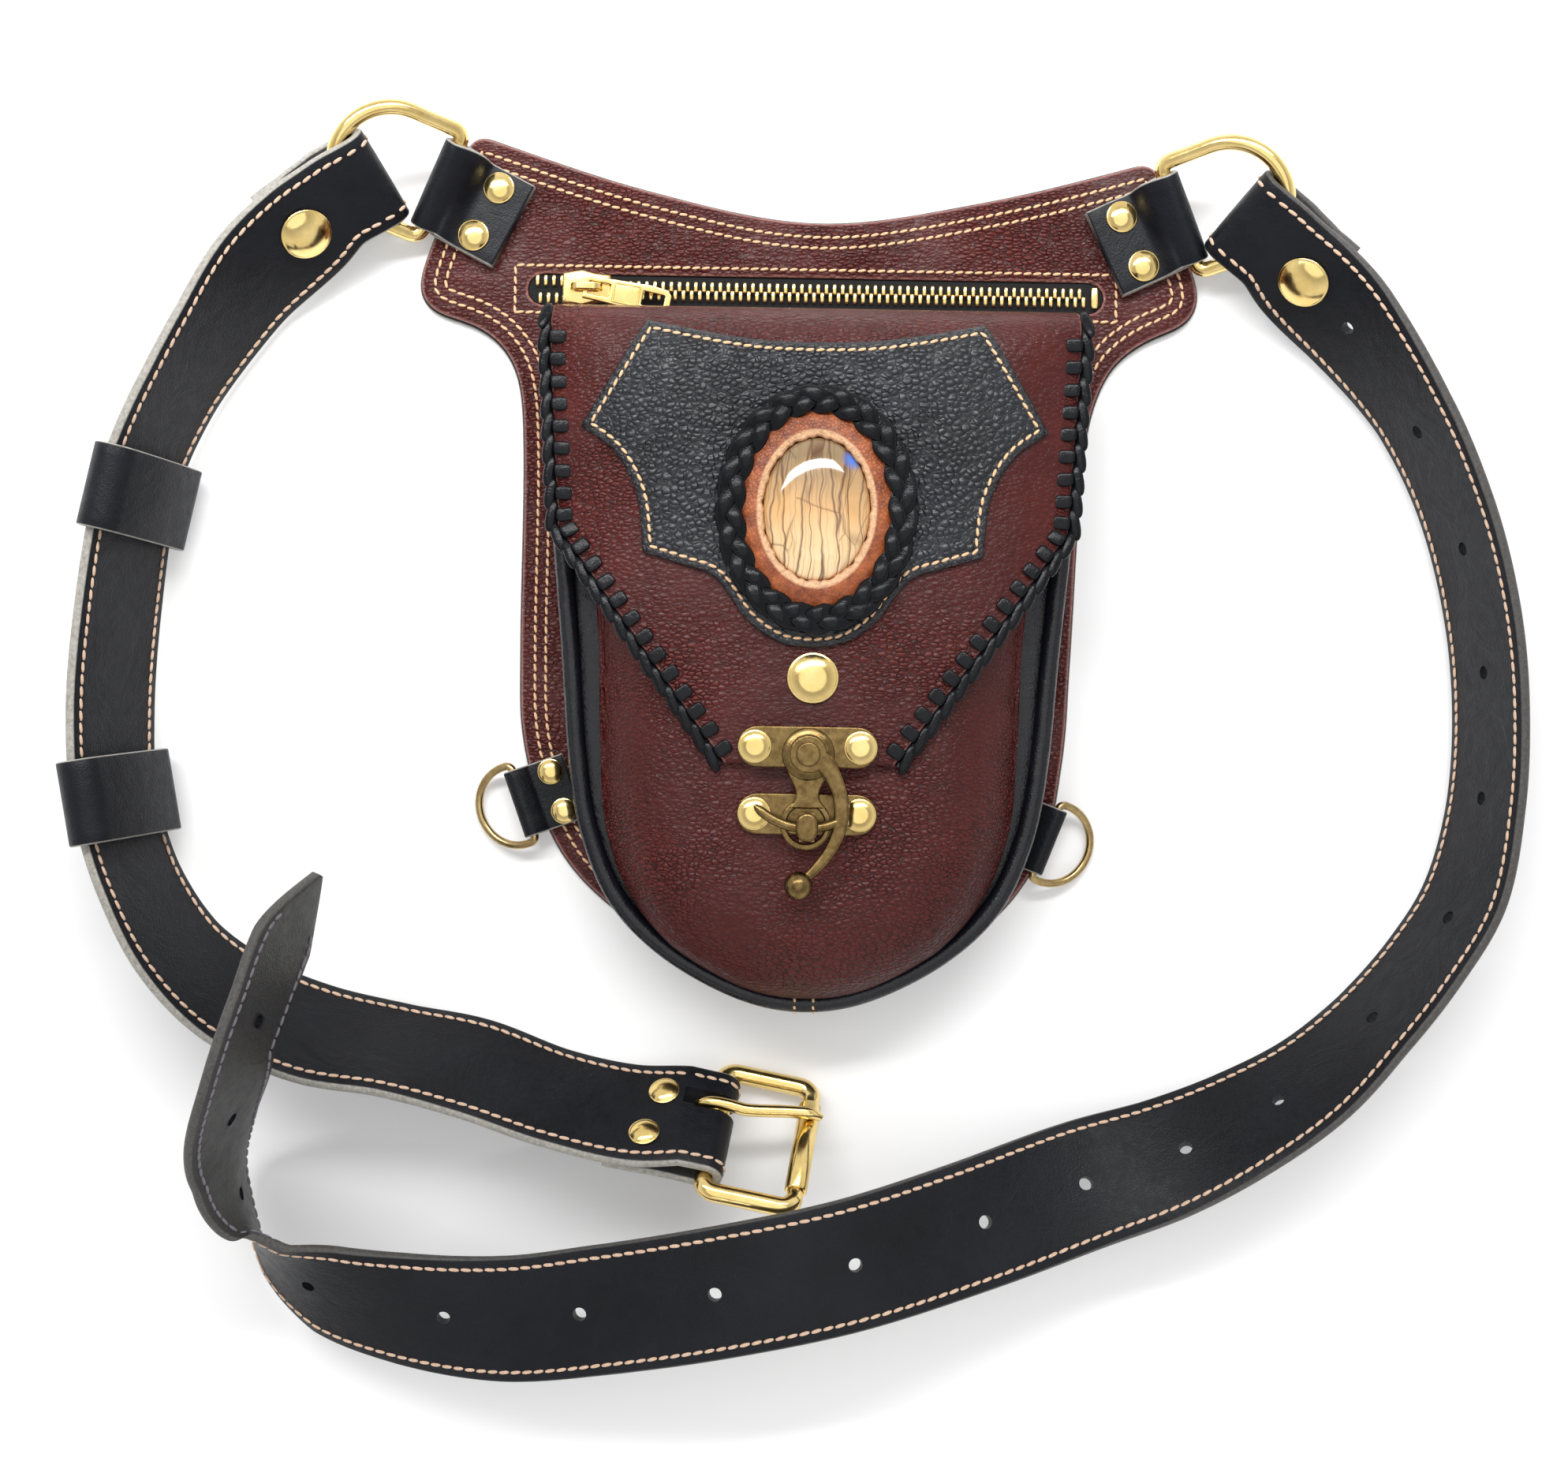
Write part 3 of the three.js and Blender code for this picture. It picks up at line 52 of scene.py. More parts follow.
MM = 0.001
GAP = 0.3
TINY = 1e-12
PANEL_TOP = 3.7
RIVET_LIFT = 0.05
QUARTER = math.pi / 2
UP = np.array([0.0, 0.0, 1.0])
ODD_WAY = np.array([0.31, 0.87, 0.38])
EDGE_TURN = np.radians([-60, -30, 0, 30, 60])
LOG = logging.getLogger("hip_bag")


class Side(Enum):
    """The bag's two sides, as the sign of X."""

    LEFT = -1
    RIGHT = 1

    @property
    def word(self) -> str:
        """The side's name as pieces and nodes spell it."""
        return self.name.lower()


class Slot(Enum):
    """The record's material slots."""

    OXBLOOD = "oxblood_leather"
    BLACK = "black_leather"
    BRIGHT = "bright_brass"
    AGED = "antique_brass"
    TAN = "tan_leather"
    STONE = "cabochon"
    CLOTH = "zip_cloth"


# Curves and directions


def unit(vectors: Array) -> Array:
    """Scales each vector to length one."""
    return vectors / np.maximum(np.linalg.norm(vectors, axis=-1, keepdims=True), TINY)


def compass(degrees: float) -> Array:
    """The level direction at an angle from +X."""
    return np.array([math.cos(math.radians(degrees)), math.sin(math.radians(degrees)), 0.0])


def lifted(ways: Array) -> Array:
    """Turns round the directions that point down."""
    return np.where(ways[..., 2:] < 0, -ways, ways)


def ease(values: Array, low: float, high: float) -> Array:
    """Rises smoothly from 0 at low to 1 at high: 3s^2 - 2s^3."""
    share = np.clip((np.asarray(values, float) - low) / (high - low), 0, 1)
    return share * share * (3 - 2 * share)


def shares(count: int) -> Array:
    """Evenly spaced numbers from 0 to 1."""
    return np.linspace(0, 1, count)


def around(count: int) -> Array:
    """Evenly spaced angles of a whole turn."""
    return np.linspace(0, 2 * math.pi, count, endpoint=False)


def columns(*parts: Array | float) -> Array:
    """Sets coordinates side by side, one point per row: a plain number serves for all rows."""
    return np.stack(np.broadcast_arrays(*parts), -1).astype(float)


def raised(flat: Array, height: Array | float) -> Array:
    """Gives points of a plane a height each."""
    return np.column_stack([flat, np.broadcast_to(height, len(flat))])


def mirrored(half: Array) -> Array:
    """Closes an outline from one half of it, mirrored across the line y = 0."""
    return np.vstack([half, half[::-1] * [1, -1]])


def curve_at(points: Sequence, reads: Array, even: bool = False) -> Array:
    """A curve through points: a cubic between each two, from their places and slopes.

    Args:
        points: the points that it passes through, one per row.
        reads: where to read it, 0 at the first point and 1 at the last.
        even: whether a slope is half the way between both neighbours, with still ends. Otherwise it
            weighs each span by the root of its length.

    Returns:
        One row for each read.
    """
    rows = np.asarray(points, float)
    ends = (rows[0], rows[-1]) if even else (2 * rows[0] - rows[1], 2 * rows[-1] - rows[-2])
    padded = np.vstack([ends[0], rows, ends[1]])
    place = np.clip(np.asarray(reads, float), 0, 1) * (len(rows) - 1)
    index = np.minimum(place.astype(int), len(rows) - 2)
    s = (place - index)[:, None]
    a, b, c, d = (padded[index + k] for k in range(4))
    if even:
        slope_b, slope_c = (c - a) / 2, (d - b) / 2
    else:
        gaps = [np.linalg.norm(q - p, axis=1, keepdims=True) for p, q in ((a, b), (b, c), (c, d))]
        before, here, after = (np.sqrt(np.maximum(gap, 1e-6)) for gap in gaps)
        slope_b = ((b - a) / before - (c - a) / (before + here) + (c - b) / here) * here
        slope_c = ((c - b) / here - (d - b) / (here + after) + (d - c) / after) * here
    return ((2 * s**3 - 3 * s**2 + 1) * b + (s**3 - 2 * s**2 + s) * slope_b
            + (3 * s**2 - 2 * s**3) * c + (s**3 - s**2) * slope_c)


def resample(path: Sequence, count: int, closed: bool = False) -> Array:
    """Spaces points evenly along a polyline by reading each coordinate against its running length.

    Args:
        path: the polyline.
        count: how many points to return.
        closed: whether the last point joins the first.

    Returns:
        The evenly spaced points.
    """
    rows = np.vstack([path, path[:1]]) if closed else np.asarray(path, float)
    steps = np.linalg.norm(np.diff(rows, axis=0), axis=1)
    run = np.concatenate([[0.0], np.cumsum(steps)])
    reads = np.linspace(0, run[-1], count, endpoint=not closed)
    return np.stack([np.interp(reads, run, rows[:, k]) for k in range(rows.shape[1])], 1)


def length_of(path: Array, closed: bool = False) -> float:
    """The length of a polyline."""
    rows = np.vstack([path, path[:1]]) if closed else path
    return float(np.linalg.norm(np.diff(rows, axis=0), axis=1).sum())


def along_of(path: Array, closed: bool = False) -> Array:
    """The direction of a path at each point, from the point before to the point after."""
    if closed:
        return unit(np.roll(path, -1, axis=0) - np.roll(path, 1, axis=0))
    return unit(np.gradient(path, axis=0))


def outward_2d(loop: Array) -> Array:
    """The way out of a loop that turns anticlockwise: its direction turned a quarter clockwise."""
    run = along_of(loop, closed=True)
    return columns(run[:, 1], -run[:, 0])


def inset_line(loop: Array, inset: float, slack: float = 0.12) -> Array:
    """A loop moved inwards along its normals, less the points that come nearer the loop than that.

    Args:
        loop: the closed outline, anticlockwise.
        inset: how far in.
        slack: how much nearer a point may come.

    Returns:
        The points of the inner line, in order.
    """
    moved = loop - inset * outward_2d(loop)
    nearest = np.linalg.norm(moved[:, None] - loop[None], axis=2).min(axis=1)
    return moved[nearest > inset - slack]


def inside(points: Array, loop: Array) -> Array:
    """Which points lie inside a loop, by counting the edges that a level ray crosses.

    Args:
        points: the points to test.
        loop: the closed outline.

    Returns:
        A truth value for each point.
    """
    a, b = loop, np.roll(loop, -1, axis=0)
    x, y = points[:, 0, None], points[:, 1, None]
    spans = (a[:, 1] > y) != (b[:, 1] > y)
    rise = np.where(np.abs(b[:, 1] - a[:, 1]) < TINY, TINY, b[:, 1] - a[:, 1])
    cross = (b[:, 0] - a[:, 0]) * (y - a[:, 1]) / rise + a[:, 0]
    return np.logical_and(spans, x < cross).sum(axis=1) % 2 == 1


def stadium(length: float, width: float, centre: Sequence[float] = (0, 0)) -> Array:
    """A bar with round ends, anticlockwise: half circles about the ends of its straight sides.

    Args:
        length: its whole length.
        width: its width.
        centre: its middle.

    Returns:
        The outline's points.
    """
    radius, straight = width / 2, length / 2 - width / 2
    turn = np.linspace(-QUARTER, QUARTER, 12)
    right = columns(straight + radius * np.cos(turn), radius * np.sin(turn))
    return np.vstack([right, -right]) + np.asarray(centre)


def circle(radius: float, centre: Sequence[float], points: int) -> Array:
    """A circle, anticlockwise."""
    return radius * columns(np.cos(around(points)), np.sin(around(points))) + np.asarray(centre)


def bevel_rim(bottom: float, top: float, bevel: float) -> Array:
    """Rim rows of a plate whose top edge is rounded over a bevel and whose bottom edge is eased.

    Args:
        bottom: the height of its lower face.
        top: the height of its upper face.
        bevel: the radius of the rounded edge.

    Returns:
        Rows of inset and height.
    """
    turn = np.linspace(0, QUARTER, 5)
    over = columns(bevel * (1 - np.cos(turn)), top - bevel + bevel * np.sin(turn))
    return np.vstack([[bevel * 0.5, bottom], [0, bottom + bevel * 0.5], over])


# Shells


@dataclass
class Shell:
    """Points in millimetres with the faces between them and a finish mark from 0 to 1 at each point."""

    points: Array
    quads: Array
    tris: Optional[Array] = None
    mark: Optional[Array] = None

    def __post_init__(self) -> None:
        """Fills in no triangles and marks of 0 where none are given."""
        self.tris = np.zeros((0, 3), int) if self.tris is None else self.tris
        self.mark = np.zeros(len(self.points)) if self.mark is None else self.mark

    def faced_out(self) -> "Shell":
        """Turns all faces round if the enclosed volume comes out negative.

        Returns:
            The shell itself.
        """
        both = np.vstack([self.tris, self.quads[:, [0, 1, 2]], self.quads[:, [0, 2, 3]]])
        a, b, c = (self.points[both[:, k]] for k in range(3))
        if np.einsum("ij,ij->i", a, np.cross(b, c)).sum() < 0:
            self.quads = self.quads[:, ::-1]
            self.tris = self.tris[:, ::-1]
        return self

    def moved(self, *offset: float) -> "Shell":
        """A copy moved by an offset."""
        return Shell(self.points + np.array(offset), self.quads, self.tris, self.mark)


def joined(*shells: Shell) -> Shell:
    """Puts several shells into one by adding to each one's faces the number of points before it.

    Args:
        shells: the shells.

    Returns:
        One shell.
    """
    starts = np.cumsum([0] + [len(s.points) for s in shells[:-1]])
    return Shell(
        np.vstack([s.points for s in shells]),
        np.vstack([s.quads + k for s, k in zip(shells, starts)]),
        np.vstack([s.tris + k for s, k in zip(shells, starts)]),
        np.concatenate([s.mark for s in shells]),
    )


def ring_quads(rings: int, size: int, closed: bool) -> Array:
    """The quads between rings of points, each ring joined round.

    Args:
        rings: how many rings.
        size: points in a ring.
        closed: whether the last ring joins the first.

    Returns:
        Four point numbers for each quad.
    """
    i = np.arange(rings if closed else rings - 1)[:, None]
    j = np.arange(size)[None]
    after, right = (i + 1) % rings, (j + 1) % size
    corners = [i * size + j, i * size + right, after * size + right, after * size + j]
    return np.stack([c.ravel() for c in np.broadcast_arrays(*corners)], 1)


def swept(rings: Array, closed: bool = False, mark: Array | float = 0.0) -> Shell:
    """Joins rings of points into a tube, closed on itself or capped by fans about the end rings' middles.

    Args:
        rings: an array of ring by point by coordinate.
        closed: whether the last ring joins the first.
        mark: a finish mark for each point of a ring.

    Returns:
        The closed shell, faced out.
    """
    count, size = rings.shape[:2]
    points = rings.reshape(-1, 3)
    marks = np.broadcast_to(mark, (count, size)).ravel()
    quads = ring_quads(count, size, closed)
    if closed:
        return Shell(points, quads, mark=marks).faced_out()
    points = np.vstack([points, rings[0].mean(axis=0), rings[-1].mean(axis=0)])
    j = np.arange(size)
    k = (j + 1) % size
    hub = np.full(size, count * size)
    last = (count - 1) * size
    tris = np.vstack([np.stack([hub, k, j], 1), np.stack([hub + 1, last + j, last + k], 1)])
    return Shell(points, quads, tris, np.append(marks, [0, 0])).faced_out()


def tube(path: Array, radius: Array | float, sides: int, reference: Array, closed: bool = False,
         flat: float = 1.0) -> Shell:
    """A round section carried along a path: centre + r(cos a * side + flat * sin a * other).

    Args:
        path: the middle line.
        radius: one radius, or one for each point.
        sides: points round the section.
        reference: a direction that the path never follows, from which the section's sides are taken.
        closed: whether the path closes.
        flat: how much the section is squeezed along its second direction.

    Returns:
        The tube's shell.
    """
    run = along_of(path, closed)
    side = unit(np.cross(run, np.broadcast_to(reference, run.shape)))
    other = np.cross(side, run)
    angle = around(sides)[None, :, None]
    reach = np.broadcast_to(np.asarray(radius, float), len(path))[:, None, None]
    spokes = np.cos(angle) * side[:, None] + flat * np.sin(angle) * other[:, None]
    return swept(path[:, None] + reach * spokes, closed)


def turned(profile: Sequence, segments: int, centre: Sequence[float], axis: Array = UP) -> Shell:
    """A profile of radius and height carried round an axis.

    Args:
        profile: rows of radius and height, from the axis at the bottom to the axis at the top.
        segments: steps round the axis.
        centre: where the profile's height 0 lies on the axis.
        axis: the way that the heights run.

    Returns:
        The closed shell.
    """
    rows = np.asarray(profile, float)
    z = unit(np.asarray(axis, float))
    x = unit(np.cross(z, ODD_WAY))
    angle = around(segments)[:, None]
    spoke = np.cos(angle) * x + np.sin(angle) * np.cross(z, x)
    radius = np.maximum(rows[:, 0], 0.01)[:, None, None]
    return swept(np.asarray(centre) + radius * spoke[None] + rows[:, 1, None, None] * z)


def band(middle: Array, across: Array, width: Array | float, thick: float, closed: bool = False,
         corner: float = 0.7, crown: float = 0.0, rough: tuple = (0.0, 0.0, 1.0)) -> Shell:
    """A strip of leather: a flat section with rounded edges carried along a path, marked at its edges.

    Args:
        middle: the path of the strip's middle.
        across: the direction of its width, one for all or one for each point.
        width: its width, one for all or one for each point.
        thick: its thickness.
        closed: whether it closes on itself.
        corner: the radius of its edges.
        crown: how far both faces swell at the middle of the width.
        rough: the finish marks of the first face, the second face and the edges.

    Returns:
        The strip's shell.
    """
    run = along_of(middle, closed)
    across = unit(across - np.sum(across * run, axis=1, keepdims=True) * run)
    face = np.cross(run, across)
    spread = np.linspace(-1, 1, 9)
    half = (np.broadcast_to(width, len(middle)) / 2 - corner)[:, None]
    swell = thick / 2 + crown * (1 - spread * spread)
    out, over = corner * np.cos(EDGE_TURN), thick / 2 * np.sin(EDGE_TURN)
    a = np.concatenate([half * spread, half + out, half * -spread, -half - out], axis=1)[..., None]
    b = np.concatenate([swell, -over, -swell, over])[None, :, None]
    first, second, edge = rough
    mark = np.repeat([first, edge, second, edge], [len(spread), len(out)] * 2)
    return swept(middle[:, None] + a * across[:, None] + b * face[:, None], closed, mark)


def leaf(mid: Array, thick: float) -> Shell:
    """A sheet of even thickness about a grid of middle points, its two long edges rounded.

    Args:
        mid: a grid of row by column by coordinate.
        thick: the thickness.

    Returns:
        The closed shell, marked along its rounded edges.
    """
    across = np.gradient(mid, axis=1)
    face = unit(np.cross(across, np.gradient(mid, axis=0)))
    half = thick / 2

    def edge(column: int, out: Array, angles: Array) -> Array:
        """Points round one edge of the sheet."""
        turn = angles[None, :, None]
        spokes = np.cos(turn) * out[:, None] + np.sin(turn) * face[:, column, None]
        return mid[:, column, None] + half * spokes

    right = edge(-1, unit(across[:, -1]), -EDGE_TURN)
    left = edge(0, -unit(across[:, 0]), EDGE_TURN)
    rings = np.concatenate([mid + half * face, right, (mid - half * face)[:, ::-1], left], axis=1)
    mark = np.repeat([0.0, 1.0, 0.0, 1.0], [mid.shape[1], len(EDGE_TURN)] * 2)
    return swept(rings, mark=mark)


def plate(outer: Array, holes: Sequence[Array], rim: Sequence, spacing: float = 0.0,
          ground: Optional[Callable[[Array, Array], Array]] = None) -> Shell:
    """A flat piece from its outline: rows of inset and height make its rim, and triangles fill both faces.

    Args:
        outer: the outline, anticlockwise.
        holes: the outlines of its openings, clockwise.
        rim: rows of inset and height, from the bottom face to the top face.
        spacing: the distance between points inside the top face, or 0 for none.
        ground: a height for each x and y that the piece follows.

    Returns:
        The closed shell, marked along its cut rim.
    """
    loops = [outer, *holes]
    sizes = [len(loop) for loop in loops]
    ring = sum(sizes)
    base = np.vstack(loops)
    ways = np.vstack([outward_2d(loop) for loop in loops])
    levels = [raised(base - inset * ways, height) for inset, height in rim]
    quads = []
    for size, start in zip(sizes, np.cumsum([0] + sizes[:-1])):
        strip = ring_quads(len(rim), size, False)
        quads.append((strip // size) * ring + start + strip % size)
    inner = scattered(loops, spacing) if spacing > 0 else np.zeros((0, 2))
    top = filled(levels[-1][:, :2], inner, sizes) + (len(rim) - 1) * ring
    bottom = filled(levels[0][:, :2], inner[:0], sizes)
    points = np.vstack([*levels, raised(inner, rim[-1][1])])
    cut = np.zeros(len(rim))
    cut[1:-1] = 1.0
    mark = np.concatenate([np.repeat(cut, ring), np.zeros(len(inner))])
    if ground is not None:
        points[:, 2] += ground(points[:, 0], points[:, 1])
    return Shell(points, np.vstack(quads), np.vstack([top, bottom[:, ::-1]]), mark).faced_out()


def scattered(loops: Sequence[Array], spacing: float) -> Array:
    """Points inside an outline and outside its openings: rows shifted by turns, clear of the edges.

    Args:
        loops: the outline and then the openings.
        spacing: the distance between the points.

    Returns:
        The points.
    """
    base = np.vstack(loops)
    low, high = base.min(axis=0), base.max(axis=0)
    x, y = np.meshgrid(np.arange(low[0], high[0], spacing), np.arange(low[1], high[1], spacing))
    x = x + np.where(np.arange(len(x)) % 2, spacing / 2, 0)[:, None]
    spots = columns(x.ravel(), y.ravel())
    spots = spots[inside(spots, loops[0])]
    for hole in loops[1:]:
        spots = spots[~inside(spots, hole)]
    return spots[np.linalg.norm(spots[:, None] - base[None], axis=2).min(axis=1) > 0.7 * spacing]


def filled(rings: Array, inner: Array, sizes: Sequence[int]) -> Array:
    """Triangles between the loops of one face and the points inside it.

    Args:
        rings: the loops' points, one loop after another, the outline first.
        inner: further points inside the face.
        sizes: how many points each loop has.

    Returns:
        Triangles as point numbers, turning anticlockwise.
    """
    loops = list(zip(np.cumsum([0, *sizes[:-1]]), sizes))
    edges = np.vstack([np.stack([s + np.arange(n), s + (np.arange(n) + 1) % n], 1) for s, n in loops])
    spots = np.vstack([rings, inner])
    made = delaunay_2d_cdt([tuple(p) for p in spots.tolist()], edges.tolist(), [], 0, 1e-7, True)
    names = np.array([origin[0] if origin else -1 for origin in made[3]])
    tris = names[np.array(made[2], int)]
    tris = tris[(tris >= 0).all(axis=1)]
    middles = spots[tris].mean(axis=1)
    keep = inside(middles, rings[:sizes[0]])
    for start, size in loops[1:]:
        keep &= ~inside(middles, rings[start:start + size])
    tris = tris[keep]
    a, b, c = (spots[tris[:, k]] for k in range(3))
    turn = (b[:, 0] - a[:, 0]) * (c[:, 1] - a[:, 1]) - (b[:, 1] - a[:, 1]) * (c[:, 0] - a[:, 0])
    return np.where(turn[:, None] < 0, tris[:, ::-1], tris)


def copies(template: Shell, origins: Array, *axes: Array) -> Shell:
    """Sets a small form at many places: origin + px * x + py * y + pz * z for every point at once.

    Args:
        template: the form in its own axes.
        origins: where each copy goes.
        axes: the three axes, each one for all or one for each copy.

    Returns:
        One shell with all the copies.
    """
    p = template.points
    count, size = len(origins), len(p)
    ways = [np.broadcast_to(axis, origins.shape)[:, None] for axis in axes]
    placed = origins[:, None] + sum(p[None, :, k, None] * way for k, way in enumerate(ways))
    shift = (np.arange(count) * size)[:, None, None]
    quads = (template.quads[None] + shift).reshape(-1, 4)
    tris = (template.tris[None] + shift).reshape(-1, 3)
    return Shell(placed.reshape(-1, 3), quads, tris, np.tile(template.mark, count))


def bead(halves: Sequence[float], power: float, rings: int, sides: int) -> Shell:
    """A rounded block: a sphere's directions squared off by a power, scaled to three half sizes.

    Args:
        halves: half its length, width and thickness.
        power: 2 for an oval, and more for a squarer form.
        rings: rings along its length.
        sides: points in a ring.

    Returns:
        The closed shell about the origin.
    """
    tilt = np.linspace(-QUARTER, QUARTER, rings)[:, None]
    turn = around(sides)[None]

    def squared(value: Array) -> Array:
        """A sine or cosine with its curve squared off."""
        return np.sign(value) * np.abs(value) ** (2 / power)

    ring = np.maximum(squared(np.cos(tilt)), 0.02)
    ball = columns(squared(np.sin(tilt)), ring * squared(np.cos(turn)), ring * squared(np.sin(turn)))
    return swept(ball * halves)


@dataclass(frozen=True)
class Stitch:
    """A kind of stitch: from stitch to stitch, each one's length and radius, and its turn off the line."""

    pitch: float
    length: float
    radius: float
    slant: float = 9.0
    flat: float = 0.8
    lift: float = 0.12
    reads: int = 4

    def row(self, path: Array, face: Array, closed: bool = False, hand: int = 1) -> Shell:
        """A row of stitches: slim beads set evenly along a line, each turned a little off it.

        Args:
            path: the line that the needle follows.
            face: the way out of the leather at each point of the line, or one for all.
            closed: whether the line closes.
            hand: which way the stitches slant, 1 or -1.

        Returns:
            The row's shell.
        """
        count = self.reads * max(int(length_of(path, closed) / self.pitch), 2)
        pick = slice(self.reads // 2, None, self.reads)
        dense = resample(path, count, closed)
        spread = np.linspace(0, len(path) - 1, count)
        ways = np.broadcast_to(face, path.shape)
        normal = np.stack([np.interp(spread, np.arange(len(path)), ways[:, k]) for k in range(3)], 1)
        run = along_of(dense, closed)[pick]
        normal = unit(normal[pick])
        side = unit(np.cross(normal, run))
        turn = math.radians(self.slant * hand)
        x = math.cos(turn) * run + math.sin(turn) * side
        y = math.cos(turn) * side - math.sin(turn) * run
        form = bead((self.length / 2, self.radius, self.radius * self.flat), 2.4, 6, 8)
        return copies(form, dense[pick] + self.lift * normal, x, y, normal)


FINE_STITCH = Stitch(2.9, 2.5, 0.45)
SHIELD_STITCH = Stitch(2.9, 2.4, 0.45)
SHORT_STITCH = Stitch(1.7, 1.3, 0.4)
BELT_STITCH = Stitch(3.45, 3.1, 0.55, 6.0)


# Finishes


class Nodes:
    """A short way to add shader nodes to a material or a world."""

    COLOUR_A, COLOUR_B, COLOUR_OUT = 6, 7, 2

    def __init__(self, holder: Material | bpy.types.World, source: str = "Object") -> None:
        """Takes over a new holder's nodes.

        Args:
            holder: the material or world.
            source: the coordinates that its patterns read.
        """
        holder.use_nodes = True
        self.holder = holder
        self.tree = holder.node_tree
        self.place = self.add("TexCoord").outputs[source]

    def put(self, target: Socket, value: object) -> None:
        """Links a socket to an input, or sets a plain value on it."""
        if isinstance(value, Socket):
            self.tree.links.new(value, target)
        else:
            target.default_value = value

    def add(self, kind: str, inputs: Optional[dict] = None, **settings: object) -> bpy.types.Node:
        """Adds a node.

        Args:
            kind: the node's type.
            inputs: sockets or plain values for its inputs, by name or number.
            settings: its properties.

        Returns:
            The node.
        """
        node = self.tree.nodes.new("ShaderNode" + kind)
        for key, value in settings.items():
            setattr(node, key, value)
        for key, value in (inputs or {}).items():
            self.put(node.inputs[key], value)
        return node

    def dress(self, shader: str = "Principled BSDF", **inputs: object) -> None:
        """Sets or links inputs of the shader, named with _ for a space."""
        for key, value in inputs.items():
            self.put(self.tree.nodes[shader].inputs[key.replace("_", " ")], value)

    def noise(self, scale: float, detail: float = 3.0, rough: float = 0.55, twist: float = 0.0) -> Socket:
        """Cloudy noise of a scale in waves per metre."""
        inputs = {"Vector": self.place, "Scale": scale, "Detail": detail, "Roughness": rough}
        return self.add("TexNoise", {**inputs, "Distortion": twist}).outputs["Fac"]

    def axis(self, name: str) -> Socket:
        """One coordinate of the place."""
        return self.add("SeparateXYZ", {"Vector": self.place}).outputs[name]

    def shifted(self, scale: float, reach: float) -> Socket:
        """The place moved by cloudy noise: the noise's colour times a reach in metres, plus the place."""
        cloud = self.add("TexNoise", {"Vector": self.place, "Scale": scale}).outputs["Color"]
        return self.add("VectorMath", {0: cloud, 1: (reach,) * 3, 2: self.place},
                        operation="MULTIPLY_ADD").outputs["Vector"]

    def cells(self, scale: float, stretch: tuple, features: Sequence[str], place: Socket,
              turn: float = 0.0) -> list:
        """Distances in a pattern of cells.

        Args:
            scale: cells per metre.
            stretch: how far the cells are squeezed along each axis.
            features: which distances to read.
            place: the place that the pattern reads.
            turn: how far the pattern is turned about the upright.

        Returns:
            A socket for each distance.
        """
        mapping = {"Vector": place, "Scale": stretch, "Rotation": (0.0, 0.0, turn)}
        squeeze = self.add("Mapping", mapping).outputs["Vector"]
        inputs = {"Vector": squeeze, "Scale": scale}
        return [self.add("TexVoronoi", inputs, feature=name).outputs["Distance"] for name in features]

    def ramp(self, source: Socket, stops: Sequence[tuple]) -> Socket:
        """Maps a value to colours.

        Args:
            source: the value.
            stops: rows of place and colour.

        Returns:
            The colour's socket.
        """
        node = self.add("ValToRGB", {"Fac": source})
        elements = node.color_ramp.elements
        for _ in stops[2:]:
            elements.new(0.5)
        for element, (place, colour) in zip(elements, stops):
            element.position = place
            element.color = (*colour, 1.0)
        return node.outputs["Color"]

    def span(self, source: Socket, old: tuple, new: tuple = (0.0, 1.0), smooth: bool = False) -> Socket:
        """Maps one span of values to another, in a straight line or eased at both ends."""
        inputs = dict(zip(("Value", "From Min", "From Max", "To Min", "To Max"), (source, *old, *new)))
        return self.add("MapRange", inputs,
                        interpolation_type="SMOOTHSTEP" if smooth else "LINEAR").outputs["Result"]

    def blend(self, share: Socket, a: object, b: object) -> Socket:
        """Mixes two colours by a share: each is a socket or a plain colour."""
        a, b = (c if isinstance(c, Socket) else (*c, 1.0) for c in (a, b))
        return self.add("Mix", {"Factor": share, self.COLOUR_A: a, self.COLOUR_B: b},
                        data_type="RGBA").outputs[self.COLOUR_OUT]

    def bump(self, height: Socket, depth: float, **more: Socket) -> Socket:
        """Relief of a depth in metres: Normal is the relief under it, and Strength fades it."""
        return self.add("Bump", {"Height": height, "Distance": depth, **more}).outputs["Normal"]

    def product(self, a: Socket, b: Socket) -> Socket:
        """One value times another."""
        return self.add("Math", {0: a, 1: b}, operation="MULTIPLY").outputs["Value"]

    def mark(self) -> Socket:
        """The finish mark that each point of a piece carries."""
        return self.add("Attribute", attribute_name="mark").outputs["Fac"]


def scaled(values: tuple, factor: float) -> tuple:
    """Each value times a factor."""
    return tuple(factor * value for value in values)


@dataclass(frozen=True)
class Finish:
    """What every finish has: its name, and the record's slot that it belongs to."""

    name: str
    slot: Slot

    def paint(self, n: Nodes) -> None:
        """Adds the finish's own nodes."""

    @cached_property
    def material(self) -> Material:
        """The finish's material, made the first time that a piece asks for it."""
        nodes = Nodes(bpy.data.materials.new(self.name))
        self.paint(nodes)
        return nodes.holder


